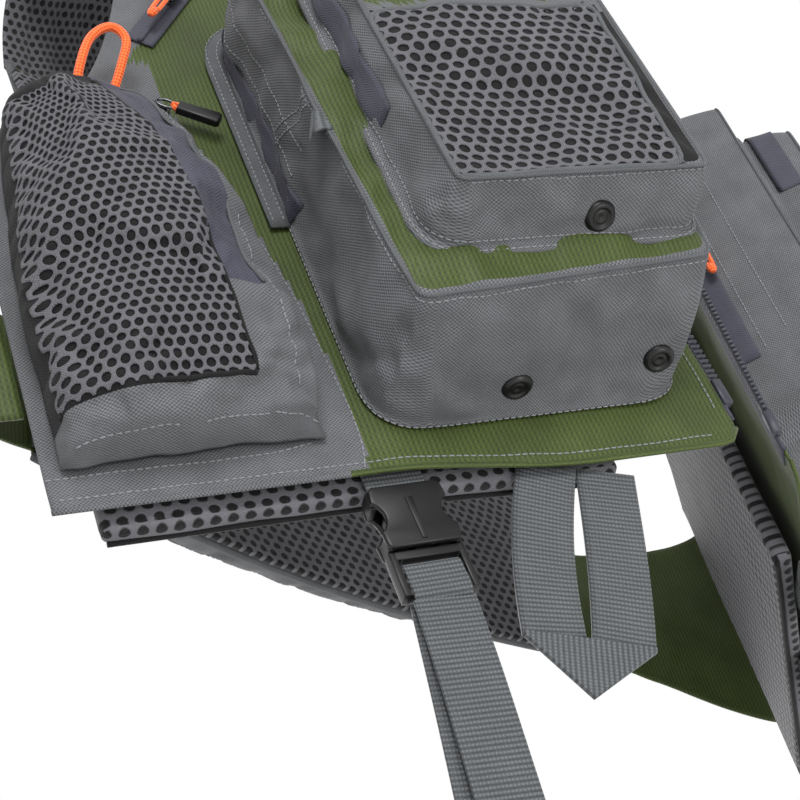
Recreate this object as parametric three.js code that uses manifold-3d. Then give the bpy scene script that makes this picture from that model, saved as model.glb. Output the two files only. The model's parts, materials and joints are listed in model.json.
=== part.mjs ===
// Fishing vest, worn upright and left open, in millimetres.
// +Z is up, the front faces -Y, and the wearer's right is at -X.
// The origin is the middle of the neck opening, level with the tops of the shoulders.
import * as THREE from 'three';
import { mergeVertices } from 'three/addons/utils/BufferGeometryUtils.js';
import Module from 'manifold-3d';

const wasm = await Module();
wasm.setup();

// ---- driving dimensions ----
const CLEAR = 0.4;              // air between pieces that lie against each other
const WEBBING = 25;             // width of every strap
const WEBBING_THICK = 1.6;

// Each front hangs as a flat leaf: yaw turns it towards the side, slant tips its hem.
const FRONT_YAW = 32;
const FRONT_SLANT = 6;
const FRONT_CENTRE_GAP = 44;    // between the two zip edges
const FRONT_LEAD = 152;         // how far the zip edge stands ahead of the origin
const HEM_LEVEL = -487;         // height of the main pocket's lower corner

// Leaf outline: s runs from the side seam to the zip edge, t runs up, n runs outwards.
const LEAF = {
  side: -131, edge: 161, hem: -20, hemDrop: 9, hemCorner: 10, thick: 3,
  underarm: 195, armholeTop: 290, shoulderOuter: -28, shoulderInner: 105, shoulder: 330,
  neckline: 245,
};
const LINING = { behind: 5, thick: 9, below: 6, sideInset: 18, edgeInset: 58, topInset: 12 };

// The box pockets: a rear outline on the leaf, a front outline at full depth.
const MAIN = {
  left: 2, bottom: -1, width: 141, height: 258, depth: 57,
  slopeLeft: 16, slopeRight: 27, slopeTop: 8, insetLow: 9, insetHigh: -2, flareRight: 7,
};
const SMALL = {
  inLeft: 22, inBottom: 39, width: 122, height: 182, depth: 28,
  slope: 12, slopeTop: 8, insetLow: 10, insetHigh: 6, flareRight: 2,
};
const SIDE_POCKET = {
  left: -125, right: -20, bottom: -3, height: 203, depth: 47, lip: 2, topLean: 34,
};

const ZIP = { sliderLong: 11, sliderWide: 9, sliderHigh: 4.5 };
const PULL = { long: 40, shortLong: 30, wide: 6, thick: 4, hinge: 1.2 };
const TEETH = { wide: 5.5, thick: 5, bottom: -8, top: 236, endStop: 8 };
const EYELET = { outer: 7, inner: 3.4, high: 1.6, outerChamfer: 0.8, innerChamfer: 0.6, segments: 20 };
const UPPER_ZIP = { inShoulder: 15, belowArmhole: 4, lean: 36, long: 78, wide: 14, thick: 1.6 };
const SIDE_ZIP = { inRight: 20, lean: 58 };

const BUCKLE = {
  wide: WEBBING + 6, thick: 12, socketLong: 29, wall: 1.8, ladderLong: 20, ladderThick: 7,
  slotHigh: 3.6, tongueWide: 7, prongWide: 5, prongLong: 23, tabLong: 34, tabStart: 1.6,
};
const BELT = { at: 3, run: 280, tail: 165, runLean: -9, tailLean: -5, layerGap: 1.4 };
const ROD_LOOP = { at: 78, runLong: 73.5, tipLong: 26, slit: 2.2, lean: -20, thick: 3 };

const BACK = {
  halfWidth: 200, bottom: -400, top: -95, sideDepth: 95, crown: 17, thick: 3, lining: 7,
  liningDrop: 14, neckHalf: 78, neckRise: 64, armholeBottom: -312, armholeIn: 26, armholeBend: 0.84,
};
const BACK_POCKET = {
  sideInset: 50, bottomInset: 16, topDrop: 110, depth: 34, seam: 6, sideRound: 0.16, topRound: 0.2,
};
const BACK_ZIP = { x: 60, aboveTop: 10 };
const WING = { low: 28, belowUnderarm: 8, gap: 5, leave: 34, arrive: 52 };
const PAD = {
  thick: 8, frontRise: 150, backRise: 110, gap: 3, behind: 2, neckShare: 0.7, outerLower: 0.12,
};
const COLLAR = {
  high: 34, thick: 6, rise: 7, skirt: 6, dip: 30, centre: 18, radiusSide: 76, radiusBack: 86, start: 12,
};
const NET_TAB = { wide: 16, thick: 2.4, long: 30, level: -112 };
const NET_RING = { radius: 12, wire: 1.6, out: 2 };

// ---- materials ----
const finish = (color, roughness, metalness = 0) => (
  new THREE.MeshStandardMaterial({ color, roughness, metalness })
);
const OLIVE = finish('#56612f', 0.8);
const GREY = finish('#74767a', 0.85);
const MESH = finish('#6a6b6e', 0.8);
const WEB = finish('#5d6063', 0.8);
const TAPE = finish('#55555f', 0.8);
const PLASTIC = finish('#17181a', 0.45);
const CORD = finish('#ee7433', 0.7);
const NICKEL = finish('#6b6c70', 0.3, 1);

const rad = THREE.MathUtils.degToRad;
const lerp = THREE.MathUtils.lerp;
const smooth = (x, low, high) => THREE.MathUtils.smoothstep(x, low, high);
const vec = (x, y, z) => new THREE.Vector3(x, y, z);

// ---- the group and its frames ----
const vest = new THREE.Group();

function add(parent, name, geometry, material) {
  const piece = new THREE.Mesh(geometry, material);
  piece.name = name;
  parent.add(piece);
  return piece;
}

function frameIn(parent, place = [0, 0, 0], turn = [0, 0, 0]) {
  const frame = new THREE.Group();
  frame.position.set(...place);
  frame.rotation.set(rad(turn[0]), rad(turn[1]), rad(turn[2]));
  parent.add(frame);
  return frame;
}

// The leaf frame: its x, y and z are s, t and n, and its zip edge keeps the centre gap.
const alongHem = vec(Math.cos(rad(FRONT_YAW)), -Math.sin(rad(FRONT_YAW)), 0)
  .multiplyScalar(Math.cos(rad(FRONT_SLANT)));
alongHem.z = Math.sin(rad(FRONT_SLANT));
const outward = vec(-Math.sin(rad(FRONT_YAW)), -Math.cos(rad(FRONT_YAW)), 0);
const upLeaf = new THREE.Vector3().crossVectors(outward, alongHem);
const hemCornerDown = LEAF.hem - LEAF.hemDrop;
const leafOrigin = vec(-FRONT_CENTRE_GAP / 2, -FRONT_LEAD, 0)
  .addScaledVector(alongHem, -LEAF.edge)
  .addScaledVector(upLeaf, -hemCornerDown)
  .setZ(HEM_LEVEL);

function leafFrame(parent) {
  const leaf = new THREE.Group();
  leaf.matrix.makeBasis(alongHem, upLeaf, outward).setPosition(leafOrigin);
  leaf.matrix.decompose(leaf.position, leaf.quaternion, leaf.scale);
  parent.add(leaf);
  return leaf;
}

const onLeaf = (s, t, n = 0) => leafOrigin.clone()
  .addScaledVector(alongHem, s).addScaledVector(upLeaf, t).addScaledVector(outward, n);

// ---- shape helpers ----
// A block whose points are placed by a function of three shares, each from 0 to 1.
function shaped(place, across, along) {
  const block = new THREE.BoxGeometry(1, 1, 1, across, along, 1);
  const points = block.attributes.position;
  for (let i = 0; i < points.count; i += 1) {
    const p = place(points.getX(i) + 0.5, points.getY(i) + 0.5, points.getZ(i) + 0.5);
    points.setXYZ(i, p.x, p.y, p.z);
  }
  return block;
}

// A sheet of even thickness on a curved surface; the surface is its inner face.
function curvedSheet(surface, thick, across, along) {
  const STEP = 0.01;
  return shaped((a, b, c) => {
    const low = Math.min(a, 1 - STEP);
    const low2 = Math.min(b, 1 - STEP);
    const du = surface(low + STEP, low2).sub(surface(low, low2));
    const dv = surface(low, low2 + STEP).sub(surface(low, low2));
    return surface(a, b).addScaledVector(du.cross(dv).normalize(), c * thick);
  }, across, along);
}

function extruded(shape, depth, segments = 1) {
  return new THREE.ExtrudeGeometry(shape, { depth, bevelEnabled: false, curveSegments: segments });
}

function roundedRect(width, height, radius) {
  const w = width / 2 - radius;
  const h = height / 2 - radius;
  const shape = new THREE.Shape();
  shape.absarc(w, h, radius, 0, Math.PI / 2);
  shape.absarc(-w, h, radius, Math.PI / 2, Math.PI);
  shape.absarc(-w, -h, radius, Math.PI, 1.5 * Math.PI);
  shape.absarc(w, -h, radius, 1.5 * Math.PI, 2 * Math.PI);
  return shape;
}

function box(width, height, depth, x = 0, y = 0, z = 0) {
  return new THREE.BoxGeometry(width, height, depth).translate(x, y, z);
}

function toSolid(geometry) {
  const bare = geometry.clone();
  bare.deleteAttribute('normal');
  bare.deleteAttribute('uv');
  const merged = mergeVertices(bare, 1e-4);
  const mesh = new wasm.Mesh({
    numProp: 3,
    vertProperties: new Float32Array(merged.attributes.position.array),
    triVerts: new Uint32Array(merged.index.array),
  });
  return new wasm.Manifold(mesh);
}

function toGeometry(solid) {
  const mesh = solid.getMesh();
  const geometry = new THREE.BufferGeometry();
  geometry.setAttribute('position', new THREE.Float32BufferAttribute(mesh.vertProperties, 3));
  geometry.setIndex(Array.from(mesh.triVerts));
  geometry.computeVertexNormals();
  return geometry;
}

const joined = (...parts) => toGeometry(parts.map(toSolid).reduce((a, b) => a.add(b)));
const cut = (body, ...tools) => (
  toGeometry(tools.map(toSolid).reduce((a, b) => a.subtract(b), toSolid(body)))
);

// ---- the front leaves ----
function hemLine(s) {
  const drop = LEAF.hem - LEAF.hemDrop * smooth(s, 0, 90);
  const intoCorner = Math.max(0, s - (LEAF.edge - LEAF.hemCorner));
  return drop + LEAF.hemCorner - Math.sqrt(LEAF.hemCorner ** 2 - intoCorner ** 2);
}

const armholeInner = LEAF.shoulderOuter - 13;

function topLine(s) {
  if (s < armholeInner) {
    const share = (s - LEAF.side) / (armholeInner - LEAF.side);
    return lerp(LEAF.underarm, LEAF.armholeTop, share ** 3);
  }
  if (s < LEAF.shoulderOuter) {
    const share = (s - armholeInner) / (LEAF.shoulderOuter - armholeInner);
    return lerp(LEAF.armholeTop, LEAF.shoulder, share);
  }
  const share = Math.max(0, (s - LEAF.shoulderInner) / (LEAF.edge - LEAF.shoulderInner));
  return lerp(LEAF.shoulder, LEAF.neckline, share);
}

const panelBack = -CLEAR - LEAF.thick;

function frontPanel() {
  const place = (a, b, c) => {
    const s = lerp(LEAF.side, LEAF.edge, a);
    return vec(s, lerp(hemLine(s), topLine(s), b), lerp(panelBack, -CLEAR, c));
  };
  return shaped(place, 44, 1);
}

function meshLining() {
  const front = panelBack - LINING.behind;
  const place = (a, b, c) => {
    const s = lerp(LEAF.side + LINING.sideInset, LEAF.edge - LINING.edgeInset, a);
    const bottom = hemLine(s) - LINING.below * (1 - smooth(s, 0, 90));
    return vec(s, lerp(bottom, topLine(s) - LINING.topInset, b), lerp(front - LINING.thick, front, c));
  };
  return shaped(place, 26, 1);
}

// A box pocket from its rear and front outlines, each given by its four corners.
function pocketBlock(rear, front, rearDepth, frontDepth) {
  return (a, b, c) => {
    const low = rear[0].clone().lerp(rear[1], a).lerp(rear[3].clone().lerp(rear[2], a), b);
    const high = front[0].clone().lerp(front[1], a).lerp(front[3].clone().lerp(front[2], a), b);
    const flat = low.lerp(high, c);
    return vec(flat.x, flat.y, lerp(rearDepth, frontDepth, c));
  };
}

const mainRight = MAIN.left + MAIN.width;
const mainTop = MAIN.bottom + MAIN.height;
const mainPlace = pocketBlock(
  [
    new THREE.Vector2(MAIN.left, MAIN.bottom),
    new THREE.Vector2(mainRight, MAIN.bottom),
    new THREE.Vector2(mainRight, mainTop),
    new THREE.Vector2(MAIN.left, mainTop),
  ],
  [
    new THREE.Vector2(MAIN.left + MAIN.insetLow, MAIN.bottom + MAIN.slopeLeft),
    new THREE.Vector2(mainRight + MAIN.flareRight, MAIN.bottom + MAIN.slopeRight),
    new THREE.Vector2(mainRight + MAIN.flareRight, mainTop - MAIN.slopeTop),
    new THREE.Vector2(MAIN.left + MAIN.insetHigh, mainTop - MAIN.slopeTop),
  ],
  0,
  MAIN.depth,
);

const smallLeft = MAIN.left + SMALL.inLeft;
const smallBottom = MAIN.bottom + SMALL.inBottom;
const smallRight = smallLeft + SMALL.width;
const smallTop = smallBottom + SMALL.height;
const smallPlace = pocketBlock(
  [
    new THREE.Vector2(smallLeft, smallBottom),
    new THREE.Vector2(smallRight, smallBottom),
    new THREE.Vector2(smallRight, smallTop),
    new THREE.Vector2(smallLeft, smallTop),
  ],
  [
    new THREE.Vector2(smallLeft + SMALL.insetLow, smallBottom + SMALL.slope),
    new THREE.Vector2(smallRight + SMALL.flareRight, smallBottom + SMALL.slope),
    new THREE.Vector2(smallRight + SMALL.flareRight, smallTop - SMALL.slopeTop),
    new THREE.Vector2(smallLeft + SMALL.insetHigh, smallTop - SMALL.slopeTop),
  ],
  MAIN.depth + CLEAR,
  MAIN.depth + CLEAR + SMALL.depth,
);

// The side pocket swells from its sewn outline like a half-filled bottle sleeve.
function sidePocket() {
  const dome = (x, power) => (1 - Math.abs(2 * x - 1) ** power) ** (1 / power);
  const place = (a, b, c) => {
    const lean = SIDE_POCKET.topLean * b ** 3;
    const s = lerp(SIDE_POCKET.left + 0.4 * lean, SIDE_POCKET.right - lean, a);
    const t = SIDE_POCKET.bottom + SIDE_POCKET.height * b;
    const swell = (SIDE_POCKET.depth - SIDE_POCKET.lip) * dome(a, 2.4) * dome(b, 4);
    return vec(s, t, c * (SIDE_POCKET.lip + swell));
  };
  return shaped(place, 12, 10);
}

// A ring pressed into a pocket's lower gusset, square to the cloth.
function eyelet(parent, name, pocketPlace, across, through) {
  const profile = [
    new THREE.Vector2(EYELET.inner, 0),
    new THREE.Vector2(EYELET.outer, 0),
    new THREE.Vector2(EYELET.outer - EYELET.outerChamfer, EYELET.high),
    new THREE.Vector2(EYELET.inner + EYELET.innerChamfer, EYELET.high),
    new THREE.Vector2(EYELET.inner, 0),
  ];
  const ring = new THREE.LatheGeometry(profile, EYELET.segments);
  const centre = pocketPlace(across, 0, through);
  const sideways = pocketPlace(across + 0.01, 0, through).sub(centre);
  const deeper = pocketPlace(across, 0, through + 0.01).sub(centre);
  const normal = sideways.cross(deeper).normalize();
  const piece = add(parent, name, ring, PLASTIC);
  piece.quaternion.setFromUnitVectors(vec(0, 1, 0), normal);
  piece.position.copy(centre).addScaledVector(normal, 2 * CLEAR);
}

function sliderBody() {
  const waist = ZIP.sliderWide * 0.7;
  const shape = new THREE.Shape([
    new THREE.Vector2(-ZIP.sliderWide / 2, ZIP.sliderLong / 2),
    new THREE.Vector2(-waist / 2, -ZIP.sliderLong / 2),
    new THREE.Vector2(waist / 2, -ZIP.sliderLong / 2),
    new THREE.Vector2(ZIP.sliderWide / 2, ZIP.sliderLong / 2),
  ].reverse());
  return extruded(shape, ZIP.sliderHigh);
}

// A tag that hangs from the slider: its top is at the hinge, and it reaches down.
function pullTag(long = PULL.long) {
  const shape = roundedRect(PULL.wide, long, PULL.wide / 2 - 0.1);
  return extruded(shape, PULL.thick, 3).translate(0, -long / 2 + PULL.hinge, 0);
}

// A zip's slider and its pull, standing on a surface whose outward direction is +Z.
function slider(parent, tag, place, turn, long = PULL.long) {
  const seat = frameIn(parent, place, turn);
  add(seat, `${tag}_slider`, sliderBody().translate(0, 0, CLEAR), NICKEL);
  const pull = pullTag(long).translate(0, 0, ZIP.sliderHigh + 2 * CLEAR);
  add(seat, `${tag}_pull`, pull, CORD);
}

function zipTeeth() {
  const x = LEAF.edge + CLEAR + TEETH.wide / 2;
  const long = TEETH.top - TEETH.bottom;
  return box(TEETH.wide, long, TEETH.thick, x, TEETH.bottom + long / 2, -TEETH.thick / 2);
}

const upperZipAt = [LEAF.shoulderOuter + UPPER_ZIP.inShoulder, LEAF.armholeTop - UPPER_ZIP.belowArmhole];

function upperZip() {
  const { wide, long, thick, lean } = UPPER_ZIP;
  return box(wide, long, thick).rotateZ(rad(-lean)).translate(...upperZipAt, thick / 2 + CLEAR);
}

// ---- buckle, belt and rod loop, hung from the hem ----
const hangDepth = panelBack - LINING.behind / 2;     // midway between the panel and its lining
const socketTop = -LINING.below - 2;

function socketShell() {
  const { wide, thick, socketLong, wall } = BUCKLE;
  const body = extruded(roundedRect(wide, socketLong, 4), thick, 4)
    .translate(0, -socketLong / 2, -thick / 2);
  const cavity = box(wide - 2 * wall - 2, socketLong, thick - 2 * wall, 0, -socketLong / 2 - 5, 0);
  const windows = box(wide + 2, socketLong * 0.42, thick - 2 * wall - 1, 0, -socketLong * 0.52, 0);
  return cut(body, cavity, windows);
}

// The plug points up: a ladder frame below with two bars' slots, a tongue above.
function plugFrame() {
  const { wide, ladderLong, ladderThick, slotHigh, tongueWide } = BUCKLE;
  const frame = extruded(roundedRect(wide, ladderLong, 3), ladderThick, 4)
    .translate(0, -ladderLong / 2, -ladderThick / 2);
  const upperSlot = box(WEBBING + 1, slotHigh, ladderThick + 2, 0, -5.5, 0);
  const lowerSlot = box(WEBBING + 1, slotHigh, ladderThick + 2, 0, -14, 0);
  const tongueLong = BUCKLE.socketLong * 0.55;
  const tongue = box(tongueWide, tongueLong + 2, 3, 0, tongueLong / 2 - 1, 0);
  return toGeometry(toSolid(cut(frame, upperSlot, lowerSlot)).add(toSolid(tongue)));
}

function prongShape() {
  const { prongWide, prongLong } = BUCKLE;
  const shape = new THREE.Shape([
    new THREE.Vector2(-prongWide / 2, CLEAR),
    new THREE.Vector2(prongWide / 2, CLEAR),
    new THREE.Vector2(prongWide / 2, prongLong * 0.7),
    new THREE.Vector2(0, prongLong),
    new THREE.Vector2(-prongWide / 2, prongLong * 0.7),
  ]);
  return extruded(shape, 3.6).translate(0, 0, -1.8);
}

const prongOffset = BUCKLE.wide / 2 - BUCKLE.wall - 1 - BUCKLE.prongWide / 2 - 1.4;

function plugWithProngs() {
  const stub = CLEAR + 1;
  const left = prongShape().translate(-prongOffset, -stub, 0);
  const right = prongShape().translate(prongOffset, -stub, 0);
  return joined(plugFrame(), left, right);
}

// The tab starts high enough for the socket to swing under it.
function socketTab() {
  const { tabLong, tabStart } = BUCKLE;
  return box(WEBBING, tabLong, WEBBING_THICK, 0, tabLong / 2 + tabStart, 0);
}

function rodLoop() {
  const half = WEBBING + ROD_LOOP.slit / 2;
  const shape = new THREE.Shape([
    new THREE.Vector2(-half, 0),
    new THREE.Vector2(-half, -ROD_LOOP.runLong),
    new THREE.Vector2(0, -ROD_LOOP.runLong - ROD_LOOP.tipLong),
    new THREE.Vector2(half, -ROD_LOOP.runLong),
    new THREE.Vector2(half, 0),
  ]);
  const slit = new THREE.Path([
    new THREE.Vector2(-0.3, -6),
    new THREE.Vector2(0.3, -6),
    new THREE.Vector2(ROD_LOOP.slit / 2, 3 - ROD_LOOP.runLong),
    new THREE.Vector2(-ROD_LOOP.slit / 2, 3 - ROD_LOOP.runLong),
  ]);
  shape.holes.push(slit);
  return extruded(shape, ROD_LOOP.thick);
}

function strapRun(long) {
  return box(WEBBING, long, WEBBING_THICK, 0, -long / 2, 0);
}

function hemHardware(leaf, side) {
  const loopDrop = WEBBING * Math.sin(rad(-ROD_LOOP.lean)) + 2 * CLEAR;
  const seat = frameIn(leaf, [BELT.at, hemLine(BELT.at) + socketTop, hangDepth]);
  add(seat, `buckle_socket_${side}`, socketShell(), PLASTIC);
  add(seat, `socket_tab_${side}`, socketTab(), WEB);
  const loopSeat = frameIn(
    leaf,
    [ROD_LOOP.at, hemLine(ROD_LOOP.at) - loopDrop, hangDepth - ROD_LOOP.thick / 2],
    [0, 0, ROD_LOOP.lean],
  );
  add(loopSeat, `rod_loop_${side}`, rodLoop(), WEB);
  return seat;
}

function belt(seat) {
  const plug = frameIn(seat, [0, -BUCKLE.socketLong - CLEAR, 0]);
  add(plug, 'buckle_plug', plugFrame(), PLASTIC);
  for (const [name, side] of [['prong_1', -1], ['prong_2', 1]]) {
    add(plug, name, prongShape().translate(side * prongOffset, 0, 0), PLASTIC);
  }
  const below = -BUCKLE.ladderLong - WEBBING / 2 * Math.sin(rad(-BELT.runLean)) - CLEAR;
  const runFrame = frameIn(plug, [0, below, -BELT.layerGap - WEBBING_THICK / 2], [0, 0, BELT.runLean]);
  add(runFrame, 'belt_strap', strapRun(BELT.run), WEB);
  const endSeat = frameIn(runFrame, [0, -BELT.run - CLEAR, 0], [0, 0, 180]);
  const farPlug = frameIn(endSeat, [0, BUCKLE.ladderLong, 0]);
  add(farPlug, 'belt_end_plug', plugWithProngs(), PLASTIC);
  const tailFrame = frameIn(plug, [0, below, BELT.layerGap + WEBBING_THICK / 2], [0, 0, BELT.tailLean]);
  add(tailFrame, 'belt_tail', strapRun(BELT.tail), WEB);
}

// A cord loop that stands out of the side pocket's upper seam.
function cordLoop() {
  const route = new THREE.CatmullRomCurve3([
    vec(-78, 202, 6),
    vec(-74, 216, 15),
    vec(-66, 232, 20),
    vec(-55, 240, 20),
    vec(-49, 233, 18),
    vec(-54, 219, 13),
    vec(-61, 205, 6),
  ]);
  const section = new THREE.Shape().absarc(0, 0, 2.2, 0, 2 * Math.PI);
  return new THREE.ExtrudeGeometry(section, { steps: 24, curveSegments: 8, extrudePath: route });
}

function front(side) {
  const hand = new THREE.Group();
  hand.scale.x = side === 'L' ? -1 : 1;
  vest.add(hand);
  const leaf = leafFrame(hand);
  add(leaf, `front_panel_${side}`, frontPanel(), OLIVE);
  add(leaf, `mesh_lining_${side}`, meshLining(), MESH);
  add(leaf, `main_pocket_${side}`, shaped(mainPlace, 1, 1), OLIVE);
  add(leaf, `small_pocket_${side}`, shaped(smallPlace, 1, 1), GREY);
  add(leaf, `side_pocket_${side}`, sidePocket(), MESH);
  add(leaf, `front_zip_${side}`, zipTeeth(), TAPE);
  add(leaf, `upper_zip_${side}`, upperZip(), TAPE);

  const onMainSide = mainPlace(1, 0.6, 0.18);
  slider(leaf, `main_${side}`, [onMainSide.x + CLEAR, onMainSide.y, onMainSide.z], [0, 90, 0]);
  const onSmallSide = smallPlace(1, 0.52, 0.55);
  slider(leaf, `small_${side}`, [onSmallSide.x + CLEAR, onSmallSide.y, onSmallSide.z], [0, 90, 0]);
  const sideTop = SIDE_POCKET.bottom + SIDE_POCKET.height;
  const sideSeat = [SIDE_POCKET.right - SIDE_ZIP.inRight, sideTop, CLEAR];
  slider(leaf, `side_${side}`, sideSeat, [0, 0, SIDE_ZIP.lean], PULL.shortLong);
  const upperSeat = [...upperZipAt, UPPER_ZIP.thick + 2 * CLEAR];
  slider(leaf, `upper_${side}`, upperSeat, [0, 0, -UPPER_ZIP.lean], PULL.shortLong);
  return leaf;
}

// ---- the back, the shoulders and the sides ----
const bezier = (p0, p1, p2, p3, x) => new THREE.CubicBezierCurve3(p0, p1, p2, p3).getPoint(x);

const crownAt = (x) => BACK.sideDepth + BACK.crown * (1 - (x / BACK.halfWidth) ** 2);

// The back narrows at the armholes and rises to the neck between the shoulders.
function backSurface(inset, lower = 0) {
  return (a, b) => {
    const share = lerp(1, -1, a);
    const level = lerp(BACK.bottom, BACK.top, b);
    const up = Math.max(0, (level - BACK.armholeBottom) / (BACK.top - BACK.armholeBottom));
    const x = share * (BACK.halfWidth - BACK.armholeIn * Math.sin(Math.PI * Math.min(1, up * BACK.armholeBend)));
    const toNeck = 1 - smooth(Math.abs(x), BACK.neckHalf, BACK.halfWidth);
    return vec(x, crownAt(x) - inset, level + (BACK.neckRise * toNeck - lower) * b ** 3);
  };
}

const backPocketTop = BACK.top - BACK_POCKET.topDrop;

function backPocket() {
  const { sideInset, bottomInset, depth, seam, sideRound, topRound } = BACK_POCKET;
  const halfWidth = BACK.halfWidth - sideInset;
  const bottom = BACK.bottom + bottomInset;
  const place = (a, b, c) => {
    const x = lerp(halfWidth, -halfWidth, a);
    const base = crownAt(x) + BACK.thick + CLEAR;
    const round = smooth(Math.min(a, 1 - a), 0, sideRound) * smooth(1 - b, 0, topRound);
    return vec(x, base + c * (seam + (depth - seam) * round), lerp(bottom, backPocketTop, b));
  };
  return shaped(place, 14, 6);
}

function shoulderPad() {
  const frontZ = LEAF.shoulder + PAD.gap;
  const inner = onLeaf(LEAF.shoulderInner, frontZ, panelBack - PAD.behind);
  const outer = onLeaf(LEAF.shoulderOuter, frontZ, panelBack - PAD.behind);
  const backTop = backSurface(0);
  const surface = (a, b) => {
    const start = inner.clone().lerp(outer, a);
    const end = backTop(lerp(PAD.neckShare, 1, a), 1).add(vec(0, 0, PAD.gap));
    const lower = 1 - PAD.outerLower * a;
    const rise = start.clone().addScaledVector(upLeaf, PAD.frontRise * lower);
    const fall = end.clone().add(vec(0, 0, PAD.backRise * lower));
    return bezier(start, rise, fall, end, 1 - b);
  };
  return curvedSheet(surface, PAD.thick, 4, 16);
}

// The wing's top and foot run from the leaf's side seam to the back's edge and hem.
function sideWing() {
  const { low, belowUnderarm, gap } = WING;
  const high = LEAF.underarm - belowUnderarm;
  const top = onLeaf(LEAF.side, high).z;
  const surface = (a, b) => {
    const start = onLeaf(LEAF.side - gap, lerp(low, high, b), panelBack);
    const end = vec(-BACK.halfWidth - gap, BACK.sideDepth, lerp(BACK.bottom + gap, top, b));
    const leave = start.clone().addScaledVector(alongHem, -WING.leave);
    const arrive = end.clone().add(vec(-WING.arrive, 0, 0));
    return bezier(end, arrive, leave, start, a);
  };
  return curvedSheet(surface, LEAF.thick, 10, 1);
}

function collar() {
  const { centre, radiusSide, radiusBack, start, rise, skirt, high, dip } = COLLAR;
  const inner = new THREE.EllipseCurve(0, centre, radiusSide, radiusBack, rad(start), rad(180 - start));
  const surface = (a, b) => {
    const p = inner.getPoint(a);
    return vec(p.x, p.y, rise + lerp(-skirt, high, b) - dip * Math.sin(Math.PI * a) ** 2);
  };
  return curvedSheet(surface, COLLAR.thick, 16, 1);
}

function build() {
  const right = front('R');
  // Shares of the way along a pocket's foot and of the way through its depth.
  eyelet(right, 'drain_eyelet_1', mainPlace, 0.42, 0.19);
  eyelet(right, 'drain_eyelet_2', mainPlace, 0.885, 0.29);
  eyelet(right, 'pocket_eyelet', smallPlace, 0.6, 0.36);
  add(right, 'side_cord_loop', cordLoop(), CORD);
  belt(hemHardware(right, 'R'));

  const left = front('L');
  hemHardware(left, 'L');
  slider(left, 'front', [LEAF.edge + CLEAR + TEETH.wide / 2, TEETH.top - TEETH.endStop, 0], [0, 0, 0]);

  add(vest, 'back_panel', curvedSheet(backSurface(0), BACK.thick, 16, 12), OLIVE);
  const liningSurface = backSurface(BACK.lining + CLEAR, BACK.liningDrop);
  add(vest, 'back_lining', curvedSheet(liningSurface, BACK.lining, 16, 12), MESH);
  add(vest, 'back_pocket', backPocket(), GREY);
  const zipSeat = frameIn(vest, [BACK_ZIP.x, 0, backPocketTop + BACK_ZIP.aboveTop], [-90, 0, 180]);
  slider(zipSeat, 'back', [0, 0, crownAt(0) + BACK.thick + CLEAR], [0, 0, -90]);
  add(vest, 'collar', collar(), GREY);

  const tabBase = crownAt(0) + BACK.thick + CLEAR;
  const tab = box(NET_TAB.wide, NET_TAB.thick, NET_TAB.long);
  add(vest, 'net_ring_tab', tab.translate(0, tabBase + NET_TAB.thick / 2, NET_TAB.level), WEB);
  const ring = new THREE.TorusGeometry(NET_RING.radius, NET_RING.wire, 8, 24);
  const ringLevel = NET_TAB.level - NET_TAB.long / 2 - CLEAR - NET_RING.radius - NET_RING.wire;
  ring.rotateX(Math.PI / 2);
  ring.translate(0, tabBase + NET_RING.out, ringLevel);
  add(vest, 'net_ring', ring, NICKEL);

  for (const [side, sign] of [['R', 1], ['L', -1]]) {
    const hand = new THREE.Group();
    hand.scale.x = sign;
    vest.add(hand);
    add(hand, `shoulder_pad_${side}`, shoulderPad(), GREY);
    add(hand, `side_wing_${side}`, sideWing(), OLIVE);
  }
}

build();

export default vest;
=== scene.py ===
import json
import math

import bmesh
import bpy
from mathutils import Matrix, Vector, noise
from mathutils.bvhtree import BVHTree

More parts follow.
